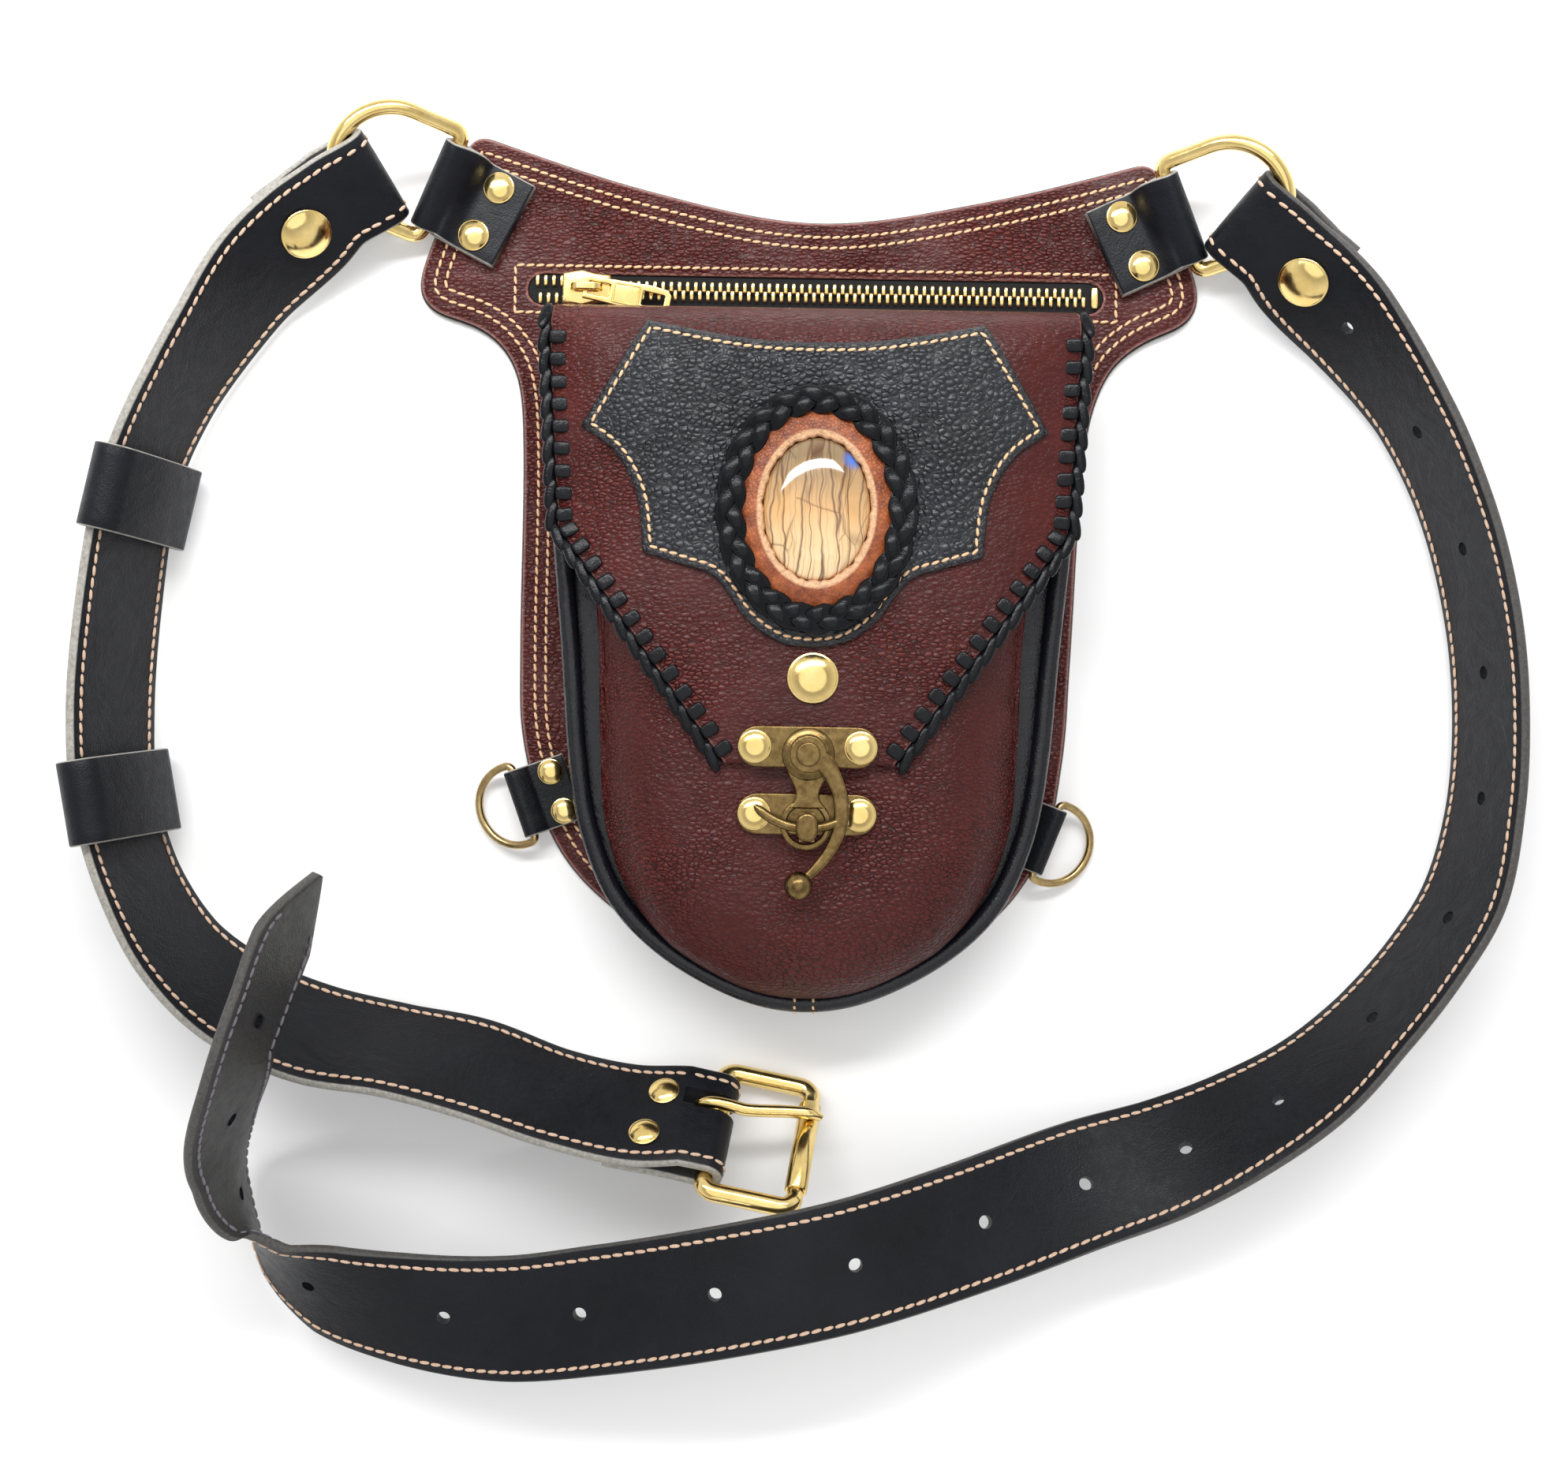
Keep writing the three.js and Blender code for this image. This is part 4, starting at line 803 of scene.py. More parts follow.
@dataclass(frozen=True)
class Leather(Finish):
    """Leather with pebbled grain, creases, mottled colour, painted shade in the grain's cracks and a cut edge
    of another colour.
    """

    light: tuple
    dark: tuple
    edge: tuple
    grain: float
    grain_depth: float
    crease: float
    crease_depth: float
    gloss: tuple
    tone: float
    shine: float
    # how dark the painted shade in the grain's cracks is
    crack_shade: float
    least: float = 0.5
    stretch: tuple = (1.0, 1.0, 1.0)

    def paint(self, n: Nodes) -> None:
        """Mixes the tones, the painted shade in the cracks and the relief: creases, domes in cells, cracks
        round them and fine pores.
        """
        mottle = n.span(n.noise(self.tone, 5, 0.6), (0.3, 0.7))
        place = n.shifted(self.grain * 0.6, 0.5 / self.grain)
        middle, edge = n.cells(self.grain, self.stretch, ("F1", "DISTANCE_TO_EDGE"), place)
        fade = n.span(n.noise(24, 2, 0.5), (0.36, 0.62), (self.least, 1.0))
        # painted shade: the cracks round the cells are darkened towards a third of the dark tone
        crack_shade_share = n.product(fade, n.span(edge, (0.02, 0.13), (self.crack_shade, 0.0)))
        colour = n.blend(crack_shade_share, n.blend(mottle, self.dark, self.light), scaled(self.dark, 0.3))
        worn = n.ramp(n.noise(900, 4, 0.7), [(0.25, scaled(self.edge, 0.45)), (0.7, self.edge)])
        relief = n.bump(n.noise(self.crease, 4, 0.6, 0.8), self.crease_depth)
        domes = n.span(middle, (0.75, 0.1), smooth=True)
        relief = n.bump(domes, self.grain_depth, Normal=relief, Strength=fade)
        cracks = n.span(edge, (0.0, 0.12), smooth=True)
        relief = n.bump(cracks, 0.4 * self.grain_depth, Normal=relief, Strength=fade)
        n.dress(Base_Color=n.blend(n.mark(), colour, worn),
                Roughness=n.span(n.noise(260, 4, 0.65), (0.3, 0.7), self.gloss),
                Normal=n.bump(n.noise(3200, 2, 0.5), 0.000015, Normal=relief),
                Specular_IOR_Level=self.shine)


@dataclass(frozen=True)
class Metal(Finish):
    """Brass with a drifting tone and fine scratches."""

    light: tuple
    dark: tuple
    gloss: tuple
    patch: float

    def paint(self, n: Nodes) -> None:
        """Mixes two tones by patches and varies the gloss in finer ones."""
        tone = n.span(n.noise(self.patch, 5, 0.65), (0.35, 0.7))
        n.dress(Base_Color=n.blend(tone, self.dark, self.light),
                Roughness=n.span(n.noise(self.patch * 3, 4, 0.7), (0.3, 0.7), self.gloss),
                Normal=n.bump(n.noise(1500, 3, 0.6), 0.00001),
                Metallic=1.0)


@dataclass(frozen=True)
class Thread(Finish):
    """Waxed thread: fine twisted plies in two tones, the dark one lying in the grooves between them as
    painted shade.
    """

    light: tuple
    dark: tuple

    def paint(self, n: Nodes) -> None:
        """Colours and raises the plies by one twisted noise, so the low grooves take the dark tone as painted
        shade.
        """
        ply = n.noise(2600, 2, 0.5, 1.5)
        # painted shade: where the ply noise is low, in the grooves, the colour goes to the dark tone
        n.dress(Base_Color=n.ramp(ply, [(0.3, self.dark), (0.65, self.light)]), Normal=n.bump(ply, 0.00012),
                Roughness=0.62, Sheen_Weight=0.25)


@dataclass(frozen=True)
class Weave(Finish):
    """Close cloth tape: two sets of ribs crossing."""

    colour: tuple
    ribs: float
    depth: float = 0.00012

    def paint(self, n: Nodes) -> None:
        """Raises waves along both directions and paints shade into the hollows of one."""
        inputs = {"Vector": n.place, "Scale": self.ribs}
        across, along = (n.add("TexWave", inputs, bands_direction=way).outputs["Fac"] for way in "XY")
        # painted shade: the hollows of the crosswise ribs are darkened to half the colour
        n.dress(Base_Color=n.ramp(across, [(0.0, scaled(self.colour, 0.5)), (1.0, self.colour)]),
                Normal=n.bump(along, self.depth, Normal=n.bump(across, self.depth)), Roughness=0.85)


@dataclass(frozen=True)
class Cabochon(Finish):
    """A polished feldspar: peach ground in drifting bands, dark upright veins and a cool flash."""

    ground: tuple
    pale: tuple
    shade: tuple
    vein: tuple
    flash: tuple
    flash_at: tuple
    levels: tuple
    veins: tuple

    def paint(self, n: Nodes) -> None:
        """Lays bands by height, then veins along the edges of long cells, then the flash round its point."""
        cloud = n.noise(110, 6, 0.6, 0.6)
        drift = n.add("Math", {0: cloud, 1: 0.014, 2: n.axis("Y")}, operation="MULTIPLY_ADD").outputs["Value"]
        bands = [(0.0, self.pale), (0.45, self.ground), (0.8, self.shade), (1.0, self.shade)]
        colour = n.ramp(n.span(drift, self.levels), bands)
        place = n.shifted(90, 0.004)
        for scale, squeeze, turn, width, depth in self.veins:
            edge = n.cells(scale, (1.0, squeeze, 0.0), ("DISTANCE_TO_EDGE",), place, turn)[0]
            colour = n.blend(n.span(edge, (0.0, width), (depth, 0.0)), colour, self.vein)
        spot = scaled(self.flash_at, MM)
        away = n.add("VectorMath", {0: n.place, 1: spot}, operation="DISTANCE").outputs["Value"]
        glow = n.span(away, (0.0008, 0.0034), (0.9, 0.0))
        n.dress(Base_Color=n.blend(glow, colour, self.flash),
                Roughness=n.span(cloud, (0.3, 0.7), (0.05, 0.1)),
                Coat_Weight=0.6, Coat_Roughness=0.09)


DARK_EDGE = (0.02, 0.02, 0.024)
OXBLOOD = Leather("oxblood_pebbled", Slot.OXBLOOD, (0.094, 0.0112, 0.0084), (0.044, 0.0055, 0.0044),
                  (0.36, 0.16, 0.14), grain=860, grain_depth=0.00034, crease=55, crease_depth=0.0011,
                  gloss=(0.28, 0.42), tone=26, shine=0.27, crack_shade=0.9, least=0.3, stretch=(0.55, 1.0, 0.8))
BLACK = Leather("black_smooth", Slot.BLACK, (0.0080, 0.0088, 0.0128), (0.0038, 0.0042, 0.0064),
                (0.42, 0.40, 0.36), grain=1500, grain_depth=0.00004, crease=60, crease_depth=0.0005,
                gloss=(0.32, 0.48), tone=40, shine=0.2, crack_shade=0.4)
PEBBLE = Leather("black_pebbled", Slot.BLACK, (0.0145, 0.0165, 0.0235), (0.006, 0.007, 0.0105), DARK_EDGE,
                 grain=600, grain_depth=0.0004, crease=50, crease_depth=0.0003,
                 gloss=(0.28, 0.42), tone=30, shine=0.45, crack_shade=0.95, least=0.6, stretch=(0.8, 1.0, 1.0))
SUPPLE = Leather("black_supple", Slot.BLACK, (0.007, 0.0075, 0.012), (0.0035, 0.0038, 0.0065), DARK_EDGE,
                 grain=1100, grain_depth=0.00003, crease=45, crease_depth=0.0008,
                 gloss=(0.2, 0.34), tone=30, shine=0.4, crack_shade=0.4)
LACE = Leather("black_lace", Slot.BLACK, (0.005, 0.0055, 0.008), (0.002, 0.0022, 0.0035), DARK_EDGE,
               grain=1300, grain_depth=0.00002, crease=160, crease_depth=0.0003,
               gloss=(0.16, 0.3), tone=60, shine=0.2, crack_shade=0.3)
TAN = Leather("tan_bezel", Slot.TAN, (0.42, 0.115, 0.034), (0.13, 0.026, 0.008), (0.78, 0.46, 0.25),
              grain=900, grain_depth=0.0001, crease=190, crease_depth=0.0006,
              gloss=(0.32, 0.46), tone=240, shine=0.4, crack_shade=0.5)
BRIGHT = Metal("bright_brass", Slot.BRIGHT, (0.93, 0.72, 0.32), (0.78, 0.56, 0.20), (0.12, 0.24), 120)
AGED = Metal("aged_brass", Slot.AGED, (0.26, 0.175, 0.07), (0.125, 0.08, 0.03), (0.2, 0.34), 420)
# a paler copy of the aged brass, used for the small rings
PALE_AGED = Metal("pale_aged_brass", Slot.AGED, (0.56, 0.41, 0.20), (0.36, 0.25, 0.11), (0.18, 0.3), 300)
THREAD = Thread("tan_thread", Slot.BLACK, (0.86, 0.56, 0.32), (0.60, 0.34, 0.16))
BELT_THREAD = Thread("pale_thread", Slot.BLACK, (0.76, 0.54, 0.39), (0.46, 0.29, 0.19))
DIM_THREAD = Thread("grey_thread", Slot.BLACK, (0.20, 0.18, 0.21), (0.09, 0.08, 0.10))
TAPE = Weave("zip_tape", Slot.CLOTH, (0.014, 0.014, 0.016), 900)
STONE = Cabochon("veined_stone", Slot.STONE, ground=(0.62, 0.36, 0.15), pale=(0.90, 0.66, 0.38),
                 shade=(0.24, 0.165, 0.085), vein=(0.10, 0.042, 0.014), flash=(0.03, 0.16, 0.62),
                 flash_at=(10.2, 51.8, 56.9), levels=(0.026, 0.068),
                 veins=((210, 0.06, 0.03, 0.05, 0.95), (420, 0.04, -0.05, 0.05, 0.4),
                        (110, 0.3, 1.0, 0.012, 0.6)))


# Pieces


def add_piece(name: str, shell: Shell, finish: Finish, nodes: Sequence[str] = (), body: str = "bag",
              sharp: float = 0.0) -> bpy.types.Object:
    """Puts a shell into the scene as one piece that rides on a body.

    Args:
        name: the piece's name.
        shell: its points and faces.
        finish: its finish.
        nodes: the solids that it stands for.
        body: the body that it moves with.
        sharp: the angle in degrees above which an edge is left sharp, or 0 for none.

    Returns:
        The new object.
    """
    mesh = bpy.data.meshes.new(name)
    corners = np.concatenate([shell.quads.ravel(), shell.tris.ravel()]).astype(np.int32)
    totals = np.repeat([4, 3], [len(shell.quads), len(shell.tris)])
    mesh.vertices.add(len(shell.points))
    mesh.vertices.foreach_set("co", (shell.points * MM).astype(np.float32).ravel())
    mesh.loops.add(len(corners))
    mesh.loops.foreach_set("vertex_index", corners)
    mesh.polygons.add(len(totals))
    mesh.polygons.foreach_set("loop_start", (np.cumsum(totals) - totals).astype(np.int32))
    mesh.polygons.foreach_set("use_smooth", np.ones(len(totals), bool))
    mesh.attributes.new("mark", "FLOAT", "POINT").data.foreach_set("value", shell.mark.astype(np.float32))
    mesh.update(calc_edges=True)
    mesh.validate()
    if sharp > 0:
        mesh.set_sharp_from_angle(angle=math.radians(sharp))
    mesh.materials.append(finish.material)
    piece = bpy.data.objects.new(name, mesh)
    bpy.context.scene.collection.objects.link(piece)
    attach(piece, body)
    if nodes:
        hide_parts(*nodes)
    LOG.info("%s: %d points", name, len(shell.points))
    return piece


def cut_out(piece: bpy.types.Object, cutter: Shell, sharp: float = 50.0) -> None:
    """Cuts a form out of a piece and leaves the result in its mesh.

    Args:
        piece: the piece to cut.
        cutter: the closed form to take away.
        sharp: the angle in degrees above which an edge is left sharp.
    """
    mesh = bpy.data.meshes.new("cutter")
    mesh.from_pydata((cutter.points * MM).tolist(), [], cutter.quads.tolist() + cutter.tris.tolist())
    tool = bpy.data.objects.new("cutter", mesh)
    bpy.context.scene.collection.objects.link(tool)
    cut = piece.modifiers.new("cut", "BOOLEAN")
    cut.operation = "DIFFERENCE"
    cut.solver = "EXACT"
    cut.object = tool
    depsgraph = bpy.context.evaluated_depsgraph_get()
    made = bpy.data.meshes.new_from_object(piece.evaluated_get(depsgraph), depsgraph=depsgraph)
    piece.modifiers.clear()
    old = piece.data
    piece.data = made
    made.set_sharp_from_angle(angle=math.radians(sharp))
    bpy.data.meshes.remove(old)
    bpy.data.objects.remove(tool)
    bpy.data.meshes.remove(mesh)


@dataclass(frozen=True)
class Cap:
    """A stamped brass cap of a rivet or a snap."""

    radius: float
    height: float
    segments: int
    power: float = 2.6
    flange: tuple = ((0, 0), (0.97, 0), (1.0, 0.1), (0.99, 0.22), (0.95, 0.27), (0.91, 0.28))

    def add(self, name: str, node: str, spot: Sequence[float], axis: Array = UP) -> None:
        """Seats the cap: a thin flange with a dome on it whose height falls as a power of the radius.

        Args:
            name: the piece's name.
            node: the solid that it stands for.
            spot: its seat.
            axis: the way that it faces.
        """
        share = shares(14)[::-1]
        dome = columns(0.9 * share, 0.3 + 0.7 * (1 - share**self.power))
        profile = np.vstack([self.flange, dome]) * [self.radius, self.height]
        add_piece(name, turned(profile, self.segments, spot, axis), BRIGHT, [node])

    def add_pair(self, name: str, node: str, middle: Array, reach: Array) -> None:
        """Seats two caps, numbered 1 and 2, to both sides of a point.

        Args:
            name: the pieces' name before the number.
            node: the solids' name before the number.
            middle: the point between them.
            reach: the way from it to the first.
        """
        for number, spot in enumerate((middle + reach, middle - reach), 1):
            self.add(f"{name}_{number}", f"{node}_{number}", spot)


@dataclass
class Back:
    """The winged back: an oxblood panel with a zip's slot on a black layer, sewn together in two rows."""

    layer_thick: float = 1.6
    layer_overhang: float = 0.7
    panel_thick: float = 1.8
    slot_y: float = 108.3
    slot_half: float = 86.6
    slot_height: float = 9.5
    flat_reach: float = 6.0
    seams: tuple = (4.2, 7.4)
    slot_seam: tuple = (3.6, 2.3)
    corner_reach: int = 8
    top_edge: tuple = ((-103.5, 154.5), (-52, 138.5), (0, 129.3), (52, 136.8), (101, 149.5))
    right_tip: tuple = ((114.5, 112), (116, 103))
    left_tip: tuple = ((-120.5, 102), (-118.5, 112))
    lower_edge: tuple = ((109, 100), (97, 94.5), (87, 84), (81, 60), (78, 0), (76, -32), (69, -62), (46, -86),
                         (0, -98), (-32, -92), (-60, -75), (-76, -56), (-85, -28), (-86.5, 0), (-86.5, 58),
                         (-89, 83), (-98, 95), (-111, 100))

    def outline(self, points: int = 620) -> Array:
        """The outline: smooth top and lower edges, wing ends and rounded tips, averaged along itself.

        Args:
            points: how many points to space along it.

        Returns:
            The outline, anticlockwise.
        """
        s = shares(14)[:, None]

        def corner(a: tuple, b: tuple, c: tuple) -> Array:
            """A corner drawn as the parabola from a to c that leans to b."""
            return (1 - s) ** 2 * np.array(a) + 2 * s * (1 - s) * np.array(b) + s**2 * np.array(c)

        top = curve_at(self.top_edge, shares(160), even=True)
        right = corner(*self.right_tip, self.lower_edge[0])
        lower = curve_at(self.lower_edge, shares(400), even=True)
        left = corner(self.lower_edge[-1], *self.left_tip)
        loop = resample(np.vstack([top, right, lower[1:], left[1:]])[::-1], 2 * points, closed=True)
        shifts = np.arange(-self.corner_reach, self.corner_reach + 1)
        rounded = sum(np.roll(loop, shift, axis=0) for shift in shifts) / len(shifts)
        return resample(rounded, points, closed=True)

    def relief(self, x: Array, y: Array) -> Array:
        """Small swells of the panel: crossed sines of a few tenths of a millimetre."""
        return 0.16 * np.sin(0.21 * x + 0.8 * np.sin(0.13 * y)) * np.sin(0.17 * y + 1.1)

    def build(self) -> None:
        """Makes the layer, the panel and the seams along its edge and round the slot."""
        loop = self.outline()
        thick = self.layer_thick
        layer_rim = [(0.5, 0), (0, 0.5), (0, thick - 0.4), (0.4, thick)]
        layer = plate(loop + self.layer_overhang * outward_2d(loop), [], layer_rim)
        add_piece("backing", layer, BLACK, ["back_layer"])
        low, top = PANEL_TOP - self.panel_thick, PANEL_TOP
        rim = [(0.4, low), (0, low + 0.4), (0, top - 0.7), (0.25, top - 0.25), (0.9, top)]
        slot = stadium(2 * self.slot_half, self.slot_height, (0, self.slot_y))
        panel = plate(loop, [resample(slot, 150, closed=True)[::-1]], rim, 3.2,
                      lambda x, y: self.relief(x, y) * (np.abs(y - self.slot_y) > self.flat_reach))
        add_piece("panel", panel, OXBLOOD, ["back_panel"])
        rows = []
        for inset in self.seams:
            line = inset_line(loop, inset)
            rows.append(FINE_STITCH.row(raised(line, top + self.relief(*line.T)), UP, closed=True))
        half, high = self.slot_half + self.slot_seam[0], self.slot_height / 2 + self.slot_seam[1]
        box = np.array([(-half, -high), (half, -high), (half, high), (-half, high), (-half, -high)])
        rows.append(FINE_STITCH.row(raised(resample(box, 400) + [0, self.slot_y], top), UP))
        add_piece("panel_stitches", joined(*rows), THREAD)


@dataclass
class ZipFastener:
    """The brass zip in the panel: tape, teeth, slider and pull."""

    y: float = 108.3
    half: float = 86.3
    height: float = 8.9
    tape_bottom: float = 1.9
    tape_thick: float = 0.7
    pitch: float = 2.45
    chain: tuple = (-60.5, 81.5)
    loose: tuple = (-83.5, -76.0)
    tooth: tuple = (1.15, 3.3, 1.5)
    stop: tuple = (1.1, 3.2, 0.9)
    slider_x: float = -68.5
    slider_size: tuple = (14.5, 11.0, 2.7)
    bail: tuple = (4.2, 2.2, 1.2, 2.2)
    bail_root: float = 0.6
    pull_size: tuple = (25.5, 8.4, 1.3)
    pull_turn: tuple = (3.0, -10.0)

    def build(self) -> None:
        """Makes the tape, the teeth on both sides, the end stop, the slider and the pull."""
        top = self.tape_bottom + self.tape_thick
        tape = stadium(2 * self.half, self.height, (0, self.y))
        rim = bevel_rim(self.tape_bottom, top, 0.15)
        add_piece("tape", plate(tape, [], rim), TAPE, ["zip_tape"])
        add_piece("teeth", self.teeth(top + GAP), BRIGHT, ["zip_teeth"], sharp=50)
        low = top + GAP + self.tooth[2] + GAP
        add_piece("slider", self.slider(low), BRIGHT, ["zip_slider"], sharp=40)
        pivot = low + self.slider_size[2] + self.bail[3] / 2
        add_piece("pull", self.pull(pivot), BRIGHT, ["zip_pull"], "zip_pull", sharp=40)

    def teeth(self, bottom: float) -> Shell:
        """Rounded blocks set along the chain, the two sides half a pitch apart, parted before the slider.

        Args:
            bottom: the height of their lower faces.

        Returns:
            The teeth and the end stop.
        """
        halves = np.array(self.tooth) / 2
        meshed = np.arange(*self.chain, self.pitch)
        parted = np.arange(*self.loose, self.pitch)
        x = np.concatenate([meshed, meshed + self.pitch / 2, parted, parted + 0.9])
        y = np.repeat([1.25, -1.25, 2.6, -2.6], np.repeat([len(meshed), len(parted)], 2))
        spots = columns(x, self.y + y, bottom + halves[2])
        stop = bead(self.stop, 5.0, 8, 12).moved(self.chain[1] + 2.2, self.y, bottom + 0.8)
        return joined(copies(bead(halves, 5.0, 8, 12), spots, *np.eye(3)), stop)

    def slider(self, low: float) -> Shell:
        """A waisted body with a bail that arches over it.

        Args:
            low: the height of its lower face.

        Returns:
            The body and the bail.
        """
        long, wide, thick = self.slider_size
        half = np.array([(-1, -0.78), (-0.2, -0.98), (0.35, -0.78), (1, -0.7)]) * [long / 2, wide / 2]
        outline = resample(mirrored(half), 90, closed=True) + [self.slider_x, self.y]
        body = plate(outline, [], bevel_rim(low, low + thick, 0.7))
        reach, width, bar, room = self.bail
        turn = np.linspace(0, math.pi, 25)
        rise = room + bar / 2 + self.bail_root
        arch = columns(-reach * np.cos(turn), 0, rise * np.sin(turn) ** 0.45)
        arch = arch + [self.slider_x, self.y, low + thick - self.bail_root]
        return joined(body, band(arch, np.array([0.0, 1.0, 0.0]), width, bar, corner=0.3))

    def pull(self, pivot: float) -> Shell:
        """A flat tag with a slot round the bail, a window, and a plain framed field between them.

        Args:
            pivot: the height of the axis that it turns about.

        Returns:
            The tag, turned as it lies in the photo.
        """
        long, wide, thick = self.pull_size
        start, tall = thick / 2, wide / 2
        half = np.array([(-start, -0.8 * tall), (long - 6, -tall), (long - 1.2, -0.86 * tall),
                         (long, -0.5 * tall)])
        slot = [(start, -2.0), (start, 2.0), (7.2, 2.0), (7.2, -2.0)]
        window = [(long - 8.5, -0.5 * tall), (long - 8.5, 0.5 * tall), (long - 1.9, 0.45 * tall),
                  (long - 1.9, -0.45 * tall)]
        holes = [resample(hole, 40, closed=True) for hole in (slot, window)]
        tag = plate(resample(mirrored(half), 110, closed=True), holes, bevel_rim(-start, start, 0.3))
        field = mirrored(np.array([(8.4, -0.66 * tall), (long - 9.6, -0.7 * tall)]))
        lip = tube(raised(resample(field, 60, closed=True), start), 0.3, 6, UP, True)
        whole = joined(tag, lip)
        tip, sway = np.radians(self.pull_turn)
        turn = Matrix.Rotation(tip, 3, "Y") @ Matrix.Rotation(sway, 3, "Z")
        whole.points = whole.points @ np.array(turn).T
        return whole.moved(self.slider_x, self.y, pivot)


@dataclass
class Pouch:
    """The pouch: a black gusset, black piping and a domed oxblood front."""

    mouth_y: float = 84.0
    mouth_half: float = 62.0
    mouth_dip: float = 1.6
    floor: float = 4.0
    piping: tuple = (2.8, 25.0)
    gusset: tuple = (10.0, 4.0, 1.5, 13.0, 1.8)
    front: tuple = (46.0, 26.0, 1.8)
    seam_spots: tuple = (-2.8, 2.6)
    rows: tuple = ((84, 80.5, 12, 24.4), (60, 78, 12, 24.4), (32, 75.5, 12, 24.4), (0, 72.5, 12, 24.4),
                   (-31, 70, 10.5, 24.4), (-54, 66, 8.5, 24.4), (-74.5, 57, 7.4, 25.5),
                   (-90, 41.3, 5.6, 29.0), (-101.5, 19.5, 5.0, 28.6), (-105, 0, 5.2, 28.4))

    def outline(self, count: int) -> tuple:
        """The outline from mouth to mouth, with the way out, the front edge's inset and its height.

        Args:
            count: how many points.

        Returns:
            Arrays of the points, the ways out, the insets and the heights.
        """
        table = np.array(self.rows, float)
        right = table[:, [1, 0]]
        reads = shares(count)
        points = curve_at(np.vstack([right * [-1, 1], right[::-1][1:]]), reads, even=True)
        run = along_of(points)
        out = columns(run[:, 1], -run[:, 0])
        out[np.sum(out * (points - [0, 10]), axis=1) < 0] *= -1
        row = (len(table) - 1) * (1 - np.abs(2 * reads - 1))
        inset, rest = (np.interp(row, np.arange(len(table)), table[:, k]) for k in (2, 3))
        return points, out, inset, rest

    def build(self) -> None:
        """Makes the gusset, the piping, the front and the short seam at the bottom."""
        points, out, inset, rest = self.outline(181)
        radius, high = self.piping
        roll = tube(raised(points - radius * out, high), radius, 14, UP)
        add_piece("piping", roll, SUPPLE, ["pouch_piping"])
        add_piece("gusset", self.wall(points, out), SUPPLE, ["pouch_gusset"])
        add_piece("front", self.dome(points - inset[:, None] * out, rest), OXBLOOD, ["pouch_front"])
        turn = np.linspace(0.1, 2.1, 12)
        face = columns(0, -np.cos(turn), np.sin(turn))
        bottom = self.rows[-1][0] + radius
        rows = [SHORT_STITCH.row([x, bottom, high] + (radius + 0.15) * face, face) for x in self.seam_spots]
        add_piece("seam_stitches", joined(*rows), THREAD)

    def wall(self, points: Array, out: Array) -> Shell:
        """The gusset: a wall that bows out as it rises, turned in under the piping as a flange.

        Args:
            points: the pouch's outline.
            out: the way out at each point.

        Returns:
            The wall, with soft waves along its outer face.
        """
        foot, waist, rim, flange, thick = self.gusset
        top = self.piping[1] - self.piping[0] - GAP
        section = [(-foot, self.floor), (-0.72 * foot, 8.0), (-waist, 13.0), (-1.4 * rim, 18.0),
                   (-rim, top - 0.8), (-rim - 0.6, top), (-rim - flange, top), (-rim - flange, top - thick),
                   (-rim - thick, top - thick), (-waist - thick, 13.0), (-foot - thick, self.floor)]
        reach, height = resample(section, 44, closed=True).T
        waves = 0.5 * np.sin(np.linspace(0, 46, len(points)))[:, None]
        reach = reach + waves * np.sin(np.pi * (height - self.floor) / 18) * (reach > -12)
        level = points[:, None] + reach[..., None] * out[:, None]
        return swept(columns(level[..., 0], level[..., 1], height))

    def dome(self, edge: Array, rest: Array) -> Shell:
        """The front: rays from the mouth line to the edge, rising with the distance s from it as 1-(1-s)^2.

        Args:
            edge: the front's edge.
            rest: the edge's height at each point.

        Returns:
            The front as a sheet.
        """
        top, roll, thick = self.front
        mouth = columns(np.linspace(-self.mouth_half, self.mouth_half, len(edge)), self.mouth_y + 1)
        part = 1 - shares(46)[::-1] ** 1.7
        flat = mouth + part[:, None, None] * (edge - mouth)
        gaps = np.linalg.norm(flat.reshape(-1, 1, 2) - edge, axis=2)
        reach = gaps.min(axis=1).reshape(flat.shape[:2])
        low = rest[gaps.argmin(axis=1)].reshape(reach.shape)
        lift = (1 - (1 - np.minimum(reach / roll, 1)) ** 2) ** 0.62
        x, y = flat[..., 0], flat[..., 1]
        folds = 0.35 * np.sin(0.11 * x + 0.4 * y + 2 * np.sin(0.05 * x)) * ease(reach, 2, 14)
        z = low + (top - low) * lift - self.mouth_dip * ease(y, 55, self.mouth_y)
        return leaf(columns(x, y, z - np.abs(folds) * ease(-y, 40, 70)), thick)


